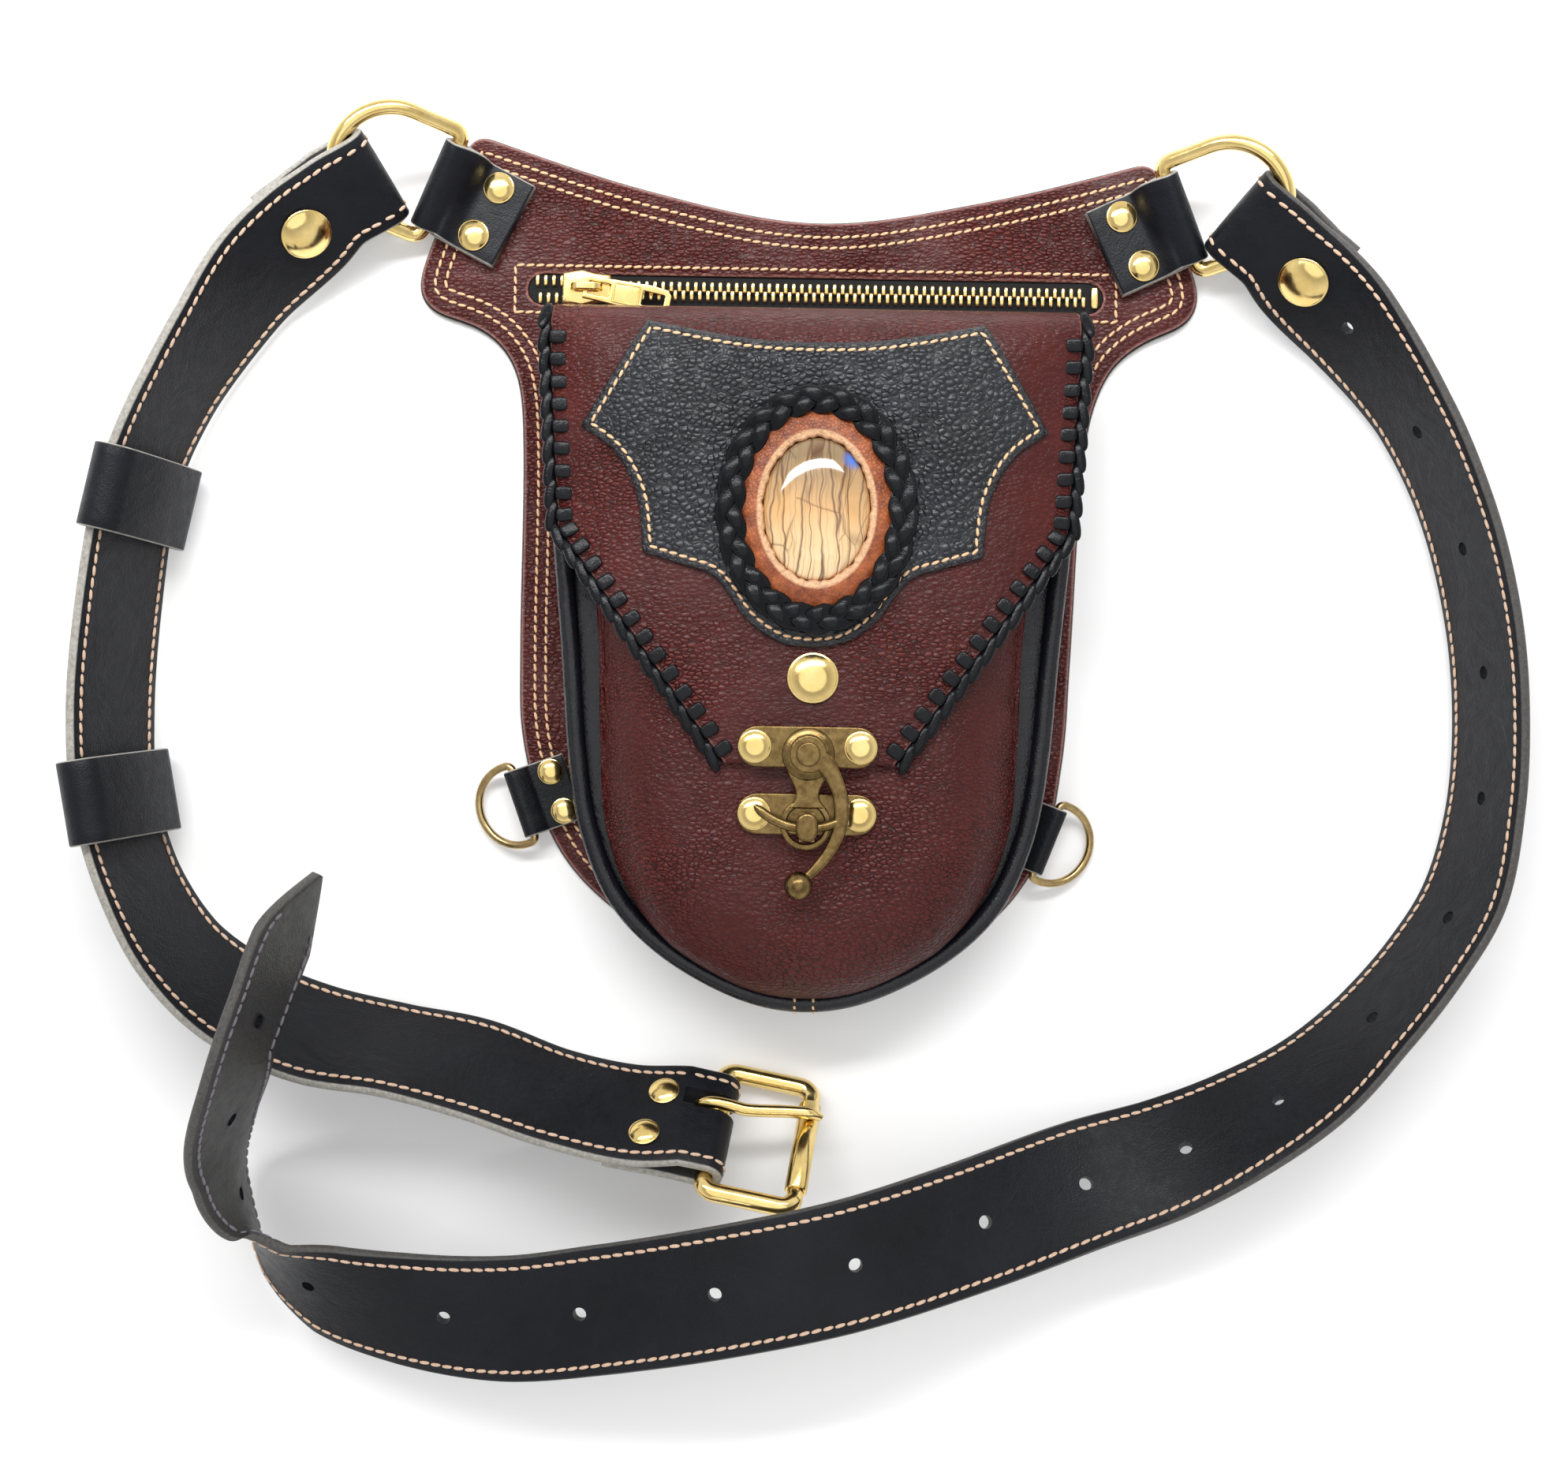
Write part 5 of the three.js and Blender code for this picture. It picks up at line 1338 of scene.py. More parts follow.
@dataclass
class Flap:
    """The flap with its laced edges and the black shield sewn on it."""

    thick: float = 1.8
    half: float = 71.5
    tip_half: float = 23.0
    flare: float = 3.2
    shoulder_y: float = 34.0
    tip_y: float = -32.5
    mouth_y: float = 84.0
    bend_z: float = 34.0
    droop: float = 9.0
    lace_top: float = 97.4
    lace_radius: float = 1.8
    lace_lift: float = 0.6
    lace_bar: tuple = (4.9, 3.9, 1.7)
    lace_leaf: tuple = (4.6, 1.7, 1.2)
    lace_turn: float = 0.24
    lace_pitch: float = 6.5
    highest_bar: float = 92.0
    shield_thick: float = 1.6
    shield_seam: float = 2.3
    rows: tuple = ((99, 4.0, 0), (99.2, 14, 0), (98.6, 26, 0), (96.8, 36, 0.1), (93.8, 43, 0.4),
                   (88, 47.8, 0.8), (78, 49.6, 1), (56, 50, 1), (34, 50, 1), (12, 49.9, 1), (-11, 49.5, 1),
                   (-32.5, 48.7, 1))
    shield_top: tuple = ((0, 85.6), (16, 86.2), (32, 88.6), (47.6, 92))
    shield_side: tuple = ((66.2, 61.8), (56, 54), (49.6, 42), (47.7, 26))
    shield_foot: tuple = ((36, 22.5), (27, 19), (18, 7.5), (9, 1.5), (0, 0))

    def half_at(self, y: Array) -> Array:
        """Half the width at a height on the flap: a straight taper below the shoulder, a flare above it."""
        halves = self.tip_half, self.half, self.half + self.flare
        return np.interp(y, (self.tip_y, self.shoulder_y, self.mouth_y), halves)

    def run(self, count: int = 130) -> Array:
        """The flap's run in y, z and share of droop, spaced evenly."""
        return resample(curve_at(self.rows, shares(600)), count)

    def mid(self, x: Array, row: Array) -> Array:
        """Points of the middle surface: z less the droop times share times (|x| / half)^4."""
        drop = self.droop * row[..., 2] * (np.abs(x) / self.half) ** 4
        return columns(x, row[..., 0], row[..., 1] - drop)

    def row_at(self, y: Array | float) -> Array:
        """The run's row for each y on the part past the bend, read against y.

        Args:
            y: the places down the flap.

        Returns:
            Rows of y, z and share of droop.
        """
        table = self.run(400)
        order = table[np.argmax(table[:, 1] > self.bend_z):][::-1]
        return columns(y, *(np.interp(y, order[:, 0], order[:, k]) for k in (1, 2)))

    def top(self, x: Array | float, y: Array | float) -> Array:
        """The height of the flap's face at x and y."""
        return self.mid(x, self.row_at(y))[..., 2] + self.thick / 2

    def build(self) -> None:
        """Makes the flap, both laced edges and the shield with its seam."""
        run = self.run()
        spread = np.sin(np.linspace(-QUARTER, QUARTER, 61))
        grid = self.mid(spread * self.half_at(run[:, 0])[:, None], run[:, None])
        add_piece("flap", leaf(grid, self.thick), OXBLOOD, ["flap"])
        for side in Side:
            add_piece("lace_" + side.word, self.lacing(side), LACE, ["lacing_" + side.word])
        self.shield()

    def edge(self, side: Side, count: int) -> tuple:
        """The laced edge's middle line and the way out of the flap along it.

        Args:
            side: which edge.
            count: how many points.

        Returns:
            The line's points and the ways out.
        """
        y = np.linspace(self.lace_top, self.tip_y + 0.6, 600)
        bend = 0.63 * (1 - ease(y, self.shoulder_y - 5, self.shoulder_y + 5))
        out = columns(side.value * np.cos(bend), -np.sin(bend), 0)
        line = self.mid(side.value * self.half_at(y), self.row_at(y)) + (self.lace_radius + 2 * GAP) * out
        both = resample(np.hstack([line + self.lace_lift * UP, out]), count)
        return both[:, :3], unit(both[:, 3:])

    def lacing(self, side: Side) -> Shell:
        """The lace: at each hole a leaf that lies along the edge and a bar that lies across it on the face.

        Args:
            side: which edge.

        Returns:
            The leaves, the bars and the run of lace under them.
        """
        line, out = self.edge(side, 900)
        run = along_of(line)
        count = round(length_of(line) / self.lace_pitch)
        pick = (shares(count + 1)[1:] * 880).astype(int)
        cos, sin = math.cos(self.lace_turn), math.sin(self.lace_turn)
        x = cos * run[pick] + sin * out[pick]
        y = cos * out[pick] - sin * run[pick]
        form = bead(self.lace_leaf, 2.3, 14, 16)
        leaves = copies(form, line[pick] + 0.2 * out[pick], x, y, lifted(np.cross(x, y)))
        low = pick[line[pick, 1] < self.highest_bar]
        inward = -out[low]
        halves = np.array(self.lace_bar) / 2
        spots = line[low] + (1.3 + halves[0]) * inward
        spots[:, 2] = self.top(spots[:, 0], spots[:, 1]) + 0.6 * halves[2]
        level = lifted(unit(np.cross(inward, run[low])))
        bars = copies(bead(halves, 4.2, 14, 20), spots, inward, run[low], level)
        return joined(leaves, bars, tube(line - 0.6 * UP - 0.4 * out, 1.2, 8, UP))

    def shield_outline(self, points: int = 420) -> Array:
        """The shield's outline from its right half: concave top and sides, drawn-out tips and a curved foot.

        Args:
            points: how many points to space along it.

        Returns:
            The outline, anticlockwise.
        """
        low = (self.shield_side[-1], *self.shield_foot)
        stretches = ((self.shield_top, 80), (self.shield_side, 80), (low, 120))
        top, side, foot = (curve_at(rows, shares(count), even=True) for rows, count in stretches)
        half = np.vstack([top, side, foot[1:]])
        loop = np.vstack([half, half[::-1][1:-1] * [-1, 1]])
        return resample(loop[::-1], points, closed=True)

    def shield(self) -> None:
        """Makes the shield that follows the flap's face, and the seam along its edge."""
        loop = self.shield_outline()
        low, high = GAP, GAP + self.shield_thick
        rim = [(0.3, low), (0, low + 0.3), (0, high - 0.7), (0.3, high - 0.2), (0.9, high), (1.7, high + 0.1),
               (2.3, high - 0.15), (3.0, high + 0.1)]
        add_piece("shield", plate(loop, [], rim, 2.6, self.top), PEBBLE, ["overlay"])
        line = inset_line(loop, self.shield_seam)
        path = raised(line, self.top(*line.T) + high - 0.1)
        add_piece("shield_stitches", SHIELD_STITCH.row(path, UP, closed=True), THREAD)


@dataclass
class Ornament:
    """The cabochon in its tan bezel with a plaited ring round it, and the snap below."""

    x: float = 0.8
    y: float = 38.4
    braid: tuple = (24.0, 30.6, 2.9)
    turns: int = 7
    strand: tuple = (2.1, 0.95, 2.25, 0.42)
    core: tuple = (0.9, 1.7, 0.9)
    bezel: tuple = (21.0, 27.2, 15.0, 20.0, 4.2)
    collar: tuple = ((1.06, 0, 0), (1.08, 0.3, 0), (0.95, 0.62, 0), (0.74, 0.84, 0), (0.5, 0.95, 0),
                     (0.33, 1.0, 0), (0.24, 1.0, 0.9), (0.1, 0.97, 1), (0.0, 0.9, 0.6), (-0.03, 0.6, 0),
                     (0, 0, 0))
    stone: tuple = (14.9, 19.9, 2.4, 5.4)
    snap_spot: tuple = (0.6, -8.3)
    snap: Cap = Cap(7.25, 2.3, 48)

    def build(self, flap: Flap) -> None:
        """Makes the plait, the bezel, the stone and the snap's cap.

        Args:
            flap: the flap that carries them.
        """
        seat = flap.top(0.0, self.y) + GAP + flap.shield_thick + GAP + 0.2
        add_piece("plait", self.plait(seat), LACE, ["braid_ring"])
        add_piece("bezel_ring", self.rim(seat), TAN, ["bezel"])
        half_x, half_y, girdle, dome = self.stone
        share = np.cos(np.linspace(0, QUARTER, 26))
        over = columns(share, girdle + dome * (1 - share**2.3) ** 0.62)
        gem = turned([(0, 0), (0.97, 0), (1, 0.4), *over], 72, (0, 0, 0))
        gem.points = gem.points * [half_x, half_y, 1] + [self.x, self.y, seat]
        add_piece("gem", gem, STONE, ["stone"])
        x, y = self.snap_spot
        self.snap.add("snap", "flap_snap", (x, y, flap.top(x, y) + 0.2))

    def plait(self, seat: float) -> Shell:
        """Three flat strands that swing in and out a third of a turn apart and cross over each other.

        Args:
            seat: the height that they lie on.

        Returns:
            The strands and the core under them.
        """
        half_x, half_y, radius = self.braid
        angle = around(360)
        middle = columns(self.x + half_x * np.cos(angle), self.y + half_y * np.sin(angle), seat + radius)
        out = unit(columns(half_y * np.cos(angle), half_x * np.sin(angle), 0))
        swing, rise, thick, flat = self.strand
        strands = []
        for start in around(3):
            wave = (self.turns * angle + start)[:, None]
            path = middle + swing * np.sin(wave) * out + rise * np.sin(2 * wave) * UP
            strands.append(tube(path, thick, 12, UP, True, flat))
        drop, thick, flat = self.core
        return joined(*strands, tube(middle - drop * UP, thick, 8, UP, True, flat))

    def rim(self, seat: float) -> Shell:
        """A soft collar: an oval section that rolls from the outer edge up to a torn inner lip.

        Args:
            seat: the height that it lies on.

        Returns:
            The collar, marked along its torn lip.
        """
        outer_x, outer_y, inner_x, inner_y, height = self.bezel
        share, level, mark = np.array(self.collar).T
        angle = around(180)[:, None]
        ragged = 0.03 * np.sin(13 * angle) + 0.025 * np.sin(29 * angle + 1) + 0.015 * np.sin(47 * angle + 2)
        scallop = 0.1 * np.abs(np.sin(10 * angle + 0.4)) + 0.05 * np.sin(17 * angle)
        share = share + ragged * (share < 0.2) + scallop * (share > 0.9)
        x = self.x + (inner_x + (outer_x - inner_x) * share) * np.cos(angle)
        y = self.y + (inner_y + (outer_y - inner_y) * share) * np.sin(angle)
        return swept(columns(x, y, seat + height * level), True, mark)


@dataclass
class Clasp:
    """The swing clasp: an upper plate with an eye, a lower plate with a slotted post, a lever and rivets."""

    plate_size: tuple = (39.6, 11.6, 1.8)
    upper: tuple = (-0.5, -27.7)
    lower: tuple = (-0.4, -46.6)
    pivot: tuple = (-0.3, -29.7)
    eye: tuple = (-0.7, -49.4, 7.2, 5.4)
    post: tuple = (-0.4, -50.0, 8.2, 6.2)
    rivet_reach: float = 14.8
    rivet: Cap = Cap(4.7, 1.5, 36)
    lever_thick: float = 2.0
    hub: tuple = (5.3, 2.5)
    ball: tuple = (4.0, 3.7)
    ball_spot: tuple = (-2.2, -36.6, 1.4)
    pin: tuple = (20.6, 1.35, 224.0, 297.0)
    arm: tuple = ((1.5, 0.5, 6.4), (5.6, -3.8, 5.2), (8.5, -9.5, 4.5), (9.5, -15, 4.2), (8.9, -21, 3.9),
                  (6.3, -27, 3.4), (2.4, -32, 2.9), (-1.2, -35.2, 2.4))
    boss: tuple = (7.4, 5.6)
    neck: tuple = ((7.2, -1.0), (5.6, -5.5), (3.3, -10.5), (3.6, -13.0), (5.4, -15.2))

    def build(self, flap: Flap, pouch: Pouch) -> None:
        """Makes both plates, the lever and the four rivets.

        Args:
            flap: the flap that carries the upper plate.
            pouch: the pouch that carries the lower plate.
        """
        thick = self.plate_size[2]
        upper_z = flap.top(0.0, flap.tip_y + 9) + GAP
        lower_z = pouch.front[0] + pouch.front[2] / 2 + GAP
        boss_top = upper_z + thick + self.rivet.height + GAP
        lever_z = boss_top + GAP
        add_piece("clasp_top", self.upper_plate(upper_z, boss_top), AGED, ["clasp_upper_plate"], sharp=45)
        add_piece("clasp_foot", self.lower_plate(lower_z, lever_z), AGED, ["clasp_lower_plate"], sharp=45)
        add_piece("lever", self.lever(lever_z), AGED, ["clasp_lever"], "clasp_lever", sharp=45)
        plates = ((*self.upper, upper_z), (*self.lower, lower_z))
        seats = [(x + way * self.rivet_reach, y, z + thick + 0.1) for x, y, z in plates for way in (-1, 1)]
        for number, seat in enumerate(seats, 1):
            self.rivet.add(f"clasp_cap_{number}", f"clasp_rivet_{number}", seat)

    def bar(self, centre: tuple, z: float) -> Shell:
        """A plate with round ends about a centre, from a height up."""
        long, wide, thick = self.plate_size
        return plate(resample(stadium(long, wide, centre), 110, True), [], bevel_rim(z, z + thick, 0.45))

    def upper_plate(self, z: float, boss_top: float) -> Shell:
        """A bar with round ends, a neck to an eye, a raised boss and the pivot's head.

        Args:
            z: the height of its lower face.
            boss_top: the height of the boss.

        Returns:
            The whole plate.
        """
        top = z + self.plate_size[2]
        *centre, outer, hole = self.eye
        ring = plate(circle(outer, centre, 56), [circle(hole, centre, 48)[::-1]], bevel_rim(z, top, 0.45))
        right = curve_at(self.neck, shares(40))
        neck = np.vstack([right[::-1], right * [-1, 1]]) + self.pivot
        stem = plate(resample(neck, 90, True), [], bevel_rim(z + 0.02, top + 0.25, 0.5))
        height = boss_top - z
        wide, narrow = self.boss
        boss = [(0, 0), (wide, 0), (wide, 0.6 * height), (wide - 0.4, 0.72 * height),
                (narrow + 0.3, 0.76 * height), (narrow, 0.8 * height), (narrow, height), (0, height)]
        pin_top = self.lever_thick + 2 * GAP
        turn = np.linspace(0, QUARTER, 7)
        head = columns(2.9 + 0.5 * np.cos(turn), pin_top + 0.4 + 0.5 * np.sin(turn))
        pin = [(0, -1), (2.2, -1), (2.2, pin_top), (3.3, pin_top), *head, (0, pin_top + 1.0)]
        return joined(self.bar(self.upper, z), ring, stem, turned(boss, 40, (*self.pivot, z)),
                      turned(pin, 32, (*self.pivot, boss_top)))

    def lower_plate(self, z: float, lever_z: float) -> Shell:
        """A bar with round ends that carries a post with a slot through it for the lever's pin.

        Args:
            z: the height of its lower face.
            lever_z: the height of the lever's lower face.

        Returns:
            The whole plate.
        """
        x, y, tall, across = self.post
        outline = resample(stadium(tall, across)[:, ::-1] * [-1, 1] + [x, y], 60, True)
        low, high = lever_z - GAP, lever_z + self.lever_thick + GAP
        stump = plate(outline, [], [(0, z + 0.2), (0, low)])
        roof = plate(outline, [], bevel_rim(high, high + 1.3, 0.9))
        middle = self.pivot[1] - self.pin[0] + 0.2
        half = self.pin[1] + 1.1
        cheeks = []
        for start, end in ((y - tall / 2, middle - half), (middle + half, y + tall / 2)):
            corners = [(x - 2.1, start + 0.1), (x + 2.1, start + 0.1), (x + 2.1, end), (x - 2.1, end)]
            cheeks.append(plate(resample(corners, 32, True), [], [(0, low - 0.2), (0, high + 0.2)]))
        return joined(self.bar(self.lower, z), stump, roof, *cheeks)

    def lever(self, z: float) -> Shell:
        """A ring round the pivot, an arm that swells and narrows along a curve, a ball and an arched pin.

        Args:
            z: the height of its lower face.

        Returns:
            The whole lever.
        """
        thick = self.lever_thick
        outer, hole = self.hub
        hub = plate(circle(outer, (0, 0), 44), [circle(hole, (0, 0), 32)[::-1]], bevel_rim(0, thick, 0.5))
        line = curve_at(self.arm, shares(60))
        path = raised(line[:, :2], thick / 2)
        run = along_of(path)
        arm = band(path, columns(-run[:, 1], run[:, 0], 0), line[:, 2], thick, corner=0.6, crown=0.15)
        turn = np.linspace(0, math.pi, 16)
        ball = turned(columns(np.sin(turn), -np.cos(turn)) * self.ball, 32, self.ball_spot)
        radius, half, start, end = self.pin
        angle = np.radians(np.linspace(start, end, 40))
        curve = columns(radius * np.cos(angle), radius * np.sin(angle), thick / 2)
        swell = np.append(np.sin(np.linspace(0.35, QUARTER, 6)), np.ones(34))
        return joined(hub, arm, ball, tube(curve, half * swell, 14, UP, flat=0.85)).moved(*self.pivot, z)


def ring_line(centre: Array, across: Array, outward: Array, bar: float, side: float, corner: float) -> Array:
    """A ring's middle line: a straight bar, rounded corners, straight sides and a half circle, in one plane.

    Args:
        centre: the bar's middle.
        across: the bar's direction.
        outward: the way from the bar to the round end.
        bar: the bar's length.
        side: the straight sides' length.
        corner: the corners' radius.

    Returns:
        Evenly spaced points of the closed line.
    """
    radius = bar / 2
    turn, half = np.linspace(-QUARTER, 0, 9), np.linspace(0, math.pi, 60)
    right = columns(radius - corner + corner * np.cos(turn), corner + corner * np.sin(turn))
    arc = columns(radius * np.cos(half), side + radius * np.sin(half))
    flat = resample(np.vstack([right, arc, right[::-1] * [-1, 1]]), 150, closed=True)
    return centre + flat[:, :1] * across + flat[:, 1:] * outward


@dataclass
class TopRing:
    """A large ring at a wing's end, with the tab that holds it and the frame of the belt's fold round it."""

    side: Side
    bar: tuple
    way: float
    turn: float
    lean: float
    off: float
    ring: tuple = (34.0, 16.0, 2.0)
    tab: tuple = (27.5, 1.6, 23.7)
    rivet_spot: tuple = (14.6, 8.0)
    rivet: Cap = Cap(4.7, 1.8, 40)

    def __post_init__(self) -> None:
        """Works out the belt's way, its leaning width and face, and the ring's own two directions."""
        self.hand = -self.side.value
        self.ahead = compass(self.way)
        level = self.hand * np.array([self.ahead[1], -self.ahead[0], 0.0])
        tip, angle = math.radians(self.lean), math.radians(self.turn)
        self.wide = math.cos(tip) * level + math.sin(tip) * UP
        self.face = np.cross(self.wide, self.ahead) * self.hand
        self.outward = math.cos(angle) * self.ahead + math.sin(angle) * self.wide
        self.across = -math.sin(angle) * self.ahead + math.cos(angle) * self.wide
        self.middle = np.array(self.bar)
        self.arc = self.middle + self.ring[1] * self.outward

    def build(self) -> None:
        """Makes the ring, its folded tab and the tab's rivets."""
        name = self.side.word
        bar, side, wire = self.ring
        line = ring_line(self.middle, self.across, self.outward, bar, side, 3.0)
        ring = tube(line, wire + 0.3, 18, np.cross(self.across, self.outward), True)
        add_piece("ring_" + name, ring, BRIGHT, ["top_ring_" + name])
        flat = unit(self.across * [1, 1, 0])
        inward = self.hand * np.array([flat[1], -flat[0], 0.0])
        width, ply, _ = self.tab
        lower = PANEL_TOP + GAP + ply / 2
        upper = lower + GAP + ply
        path, wide = self.tab_run(flat, inward, lower, upper)
        reads = shares(140)
        strip = band(curve_at(path, reads), unit(curve_at(wide, reads)), width, ply, corner=0.6)
        add_piece("tab_" + name, strip, BLACK, ["top_tab_" + name])
        back, offset = self.rivet_spot
        seat = self.middle + back * inward
        seat[2] = upper + ply / 2 + RIVET_LIFT
        self.rivet.add_pair("tab_cap_" + name, "top_rivet_" + name, seat, offset * flat)

    def tab_run(self, flat: Array, inward: Array, lower: float, upper: float) -> tuple:
        """The tab's run: along the panel to the bar, a half turn round it, and back above itself.

        Args:
            flat: the level direction of its width.
            inward: the level way from the bar over the panel.
            lower: the height of the lower ply's middle.
            upper: the height of the upper ply's middle.

        Returns:
            Arrays of the middle line and the width's direction.
        """
        _, ply, reach = self.tab
        fold = self.ring[2] + 2 * GAP + ply / 2
        lean = math.asin(self.across[2])

        def leg(rows: Sequence) -> tuple:
            """A ply's middle and width direction from rows of distance, height and share of the lean."""
            back, height, share = np.array(rows, float).T[..., None]
            places = self.middle + back * inward
            places[:, 2:] = height
            return places, np.cos(lean * share) * flat + np.sin(lean * share) * UP

        slope = upper + 0.62 * (self.middle[2] + fold - upper)
        below = leg([(reach, lower, 0), (17, lower, 0), (12, lower, 0), (8, lower + 0.9, 0.1),
                     (4.3, lower + 2.2, 0.45)])
        above = leg([(5, slope, 0.85), (9.5, upper, 0), (16, upper, 0), (reach, upper, 0)])
        rise = lifted(np.cross(self.across, inward))
        angle = math.pi * (1.5 - shares(7))[:, None]
        turn = self.middle + fold * (np.cos(angle) * inward + np.sin(angle) * rise)
        round_bar = turn, np.tile(self.across, (len(turn), 1))
        middle, across = (np.vstack(parts) for parts in zip(below, round_bar, above))
        return middle, across

    def fold_point(self, reach: Array | float, height: Array | float) -> Array:
        """Points of the belt's fold from its reach along the belt and its height over the ring's plane."""
        return self.arc + self.off * self.wide + columns(reach, height) @ np.array([self.ahead, self.face])


@dataclass
class SideRing:
    """A small aged ring on a folded tab at the side of the panel."""

    side: Side
    fold: tuple
    way: float
    reach: float
    rivet_at: float
    ring: tuple = (24.0, 3.0, 1.2)
    tab: tuple = (20.6, 1.4)
    rivet_off: float = 6.2
    rivet: Cap = Cap(3.9, 1.6, 36)

    def build(self) -> None:
        """Makes the tab, the ring that droops from it and the two rivets."""
        name = self.side.word
        inward = compass(self.way)
        across = np.array([-inward[1], inward[0], 0.0])
        width, ply = self.tab
        bar, side, wire = self.ring
        turn = wire + GAP + ply / 2
        lower = PANEL_TOP + GAP + ply / 2
        upper = lower + GAP + ply
        middle = np.array([*self.fold, 0.0]) + (turn + ply / 2) * inward + (lower + turn) * UP
        angle = math.pi * (1.5 - shares(7))
        round_bar = columns(turn * np.cos(angle), middle[2] + turn * np.sin(angle))
        slope = (upper + middle[2] + turn) / 2
        rows = [(self.reach, lower), (self.reach / 2, lower), *round_bar, (2.8, slope), (4.7, upper),
                (self.reach * 0.7, upper), (self.reach, upper)]
        back, height = np.array(rows).T[..., None]
        level = middle + back * inward
        level[:, 2:] = height
        strip = band(curve_at(level, shares(110)), across, width, ply, corner=0.5)
        add_piece("side_tab_leather_" + name, strip, BLACK, ["side_tab_" + name])
        drop = math.asin((middle[2] - wire - GAP) / (side + bar / 2))
        outward = -math.cos(drop) * inward - math.sin(drop) * UP
        line = ring_line(middle, across, outward, bar, side, 2.0)
        ring = tube(line, wire, 14, np.cross(across, outward), True)
        add_piece("small_ring_" + name, ring, PALE_AGED, ["side_ring_" + name], "side_ring_" + name)
        seat = middle + self.rivet_at * inward
        seat[2] = upper + ply / 2 + RIVET_LIFT
        self.rivet.add_pair("side_cap_" + name, "side_rivet_" + name, seat, self.rivet_off * across)


@dataclass
class BeltRun:
    """A half of the belt as a smooth run through rows of x, y, z, lean and width."""

    rows: Array
    hand: int
    most: float = 38.0
    step: float = 1e-4

    def at(self, reads: Sequence[float]) -> tuple:
        """The run at shares of its rows: the width leans from the level, square to the run.

        Args:
            reads: from 0 at the first row to 1 at the last.

        Returns:
            Arrays of the middle, the width's direction, the face's direction and the width.
        """
        reads = np.asarray(reads, float)
        line = self.rows[:, :3]
        run = unit(curve_at(line, reads + self.step) - curve_at(line, reads - self.step))
        lean, width = curve_at(self.rows[:, 3:], reads).T
        level = self.hand * unit(columns(run[:, 1], -run[:, 0], 0))
        tip = np.radians(lean)[:, None]
        wide = np.cos(tip) * level + np.sin(tip) * UP
        wide = unit(wide - np.sum(wide * run, axis=1, keepdims=True) * run)
        return curve_at(line, reads), wide, self.hand * np.cross(wide, run), np.minimum(width, self.most)

    def spot(self, read: float) -> tuple:
        """The middle, the width's direction and the face's direction at one share."""
        return tuple(part[0] for part in self.at([read])[:3])

    def share_of(self, row: float) -> float:
        """The share at which the run passes a row."""
        return row / (len(self.rows) - 1)

    def share_at(self, reach: Array) -> Array:
        """The shares at distances along the run, read against its running length.

        Args:
            reach: the distances.

        Returns:
            A share for each.
        """
        reads = shares(4000)
        steps = np.linalg.norm(np.diff(curve_at(self.rows[:, :3], reads), axis=0), axis=1)
        return np.interp(reach, np.append(0, np.cumsum(steps)), reads)


def strap_rows(middle: Array, across: Array, width: Array | float) -> Array:
    """Rows of a strap: its middle, its width's direction and its width, one for all or one for each."""
    ways = np.broadcast_to(across, middle.shape)
    return np.column_stack([middle, ways, np.broadcast_to(width, len(middle))])


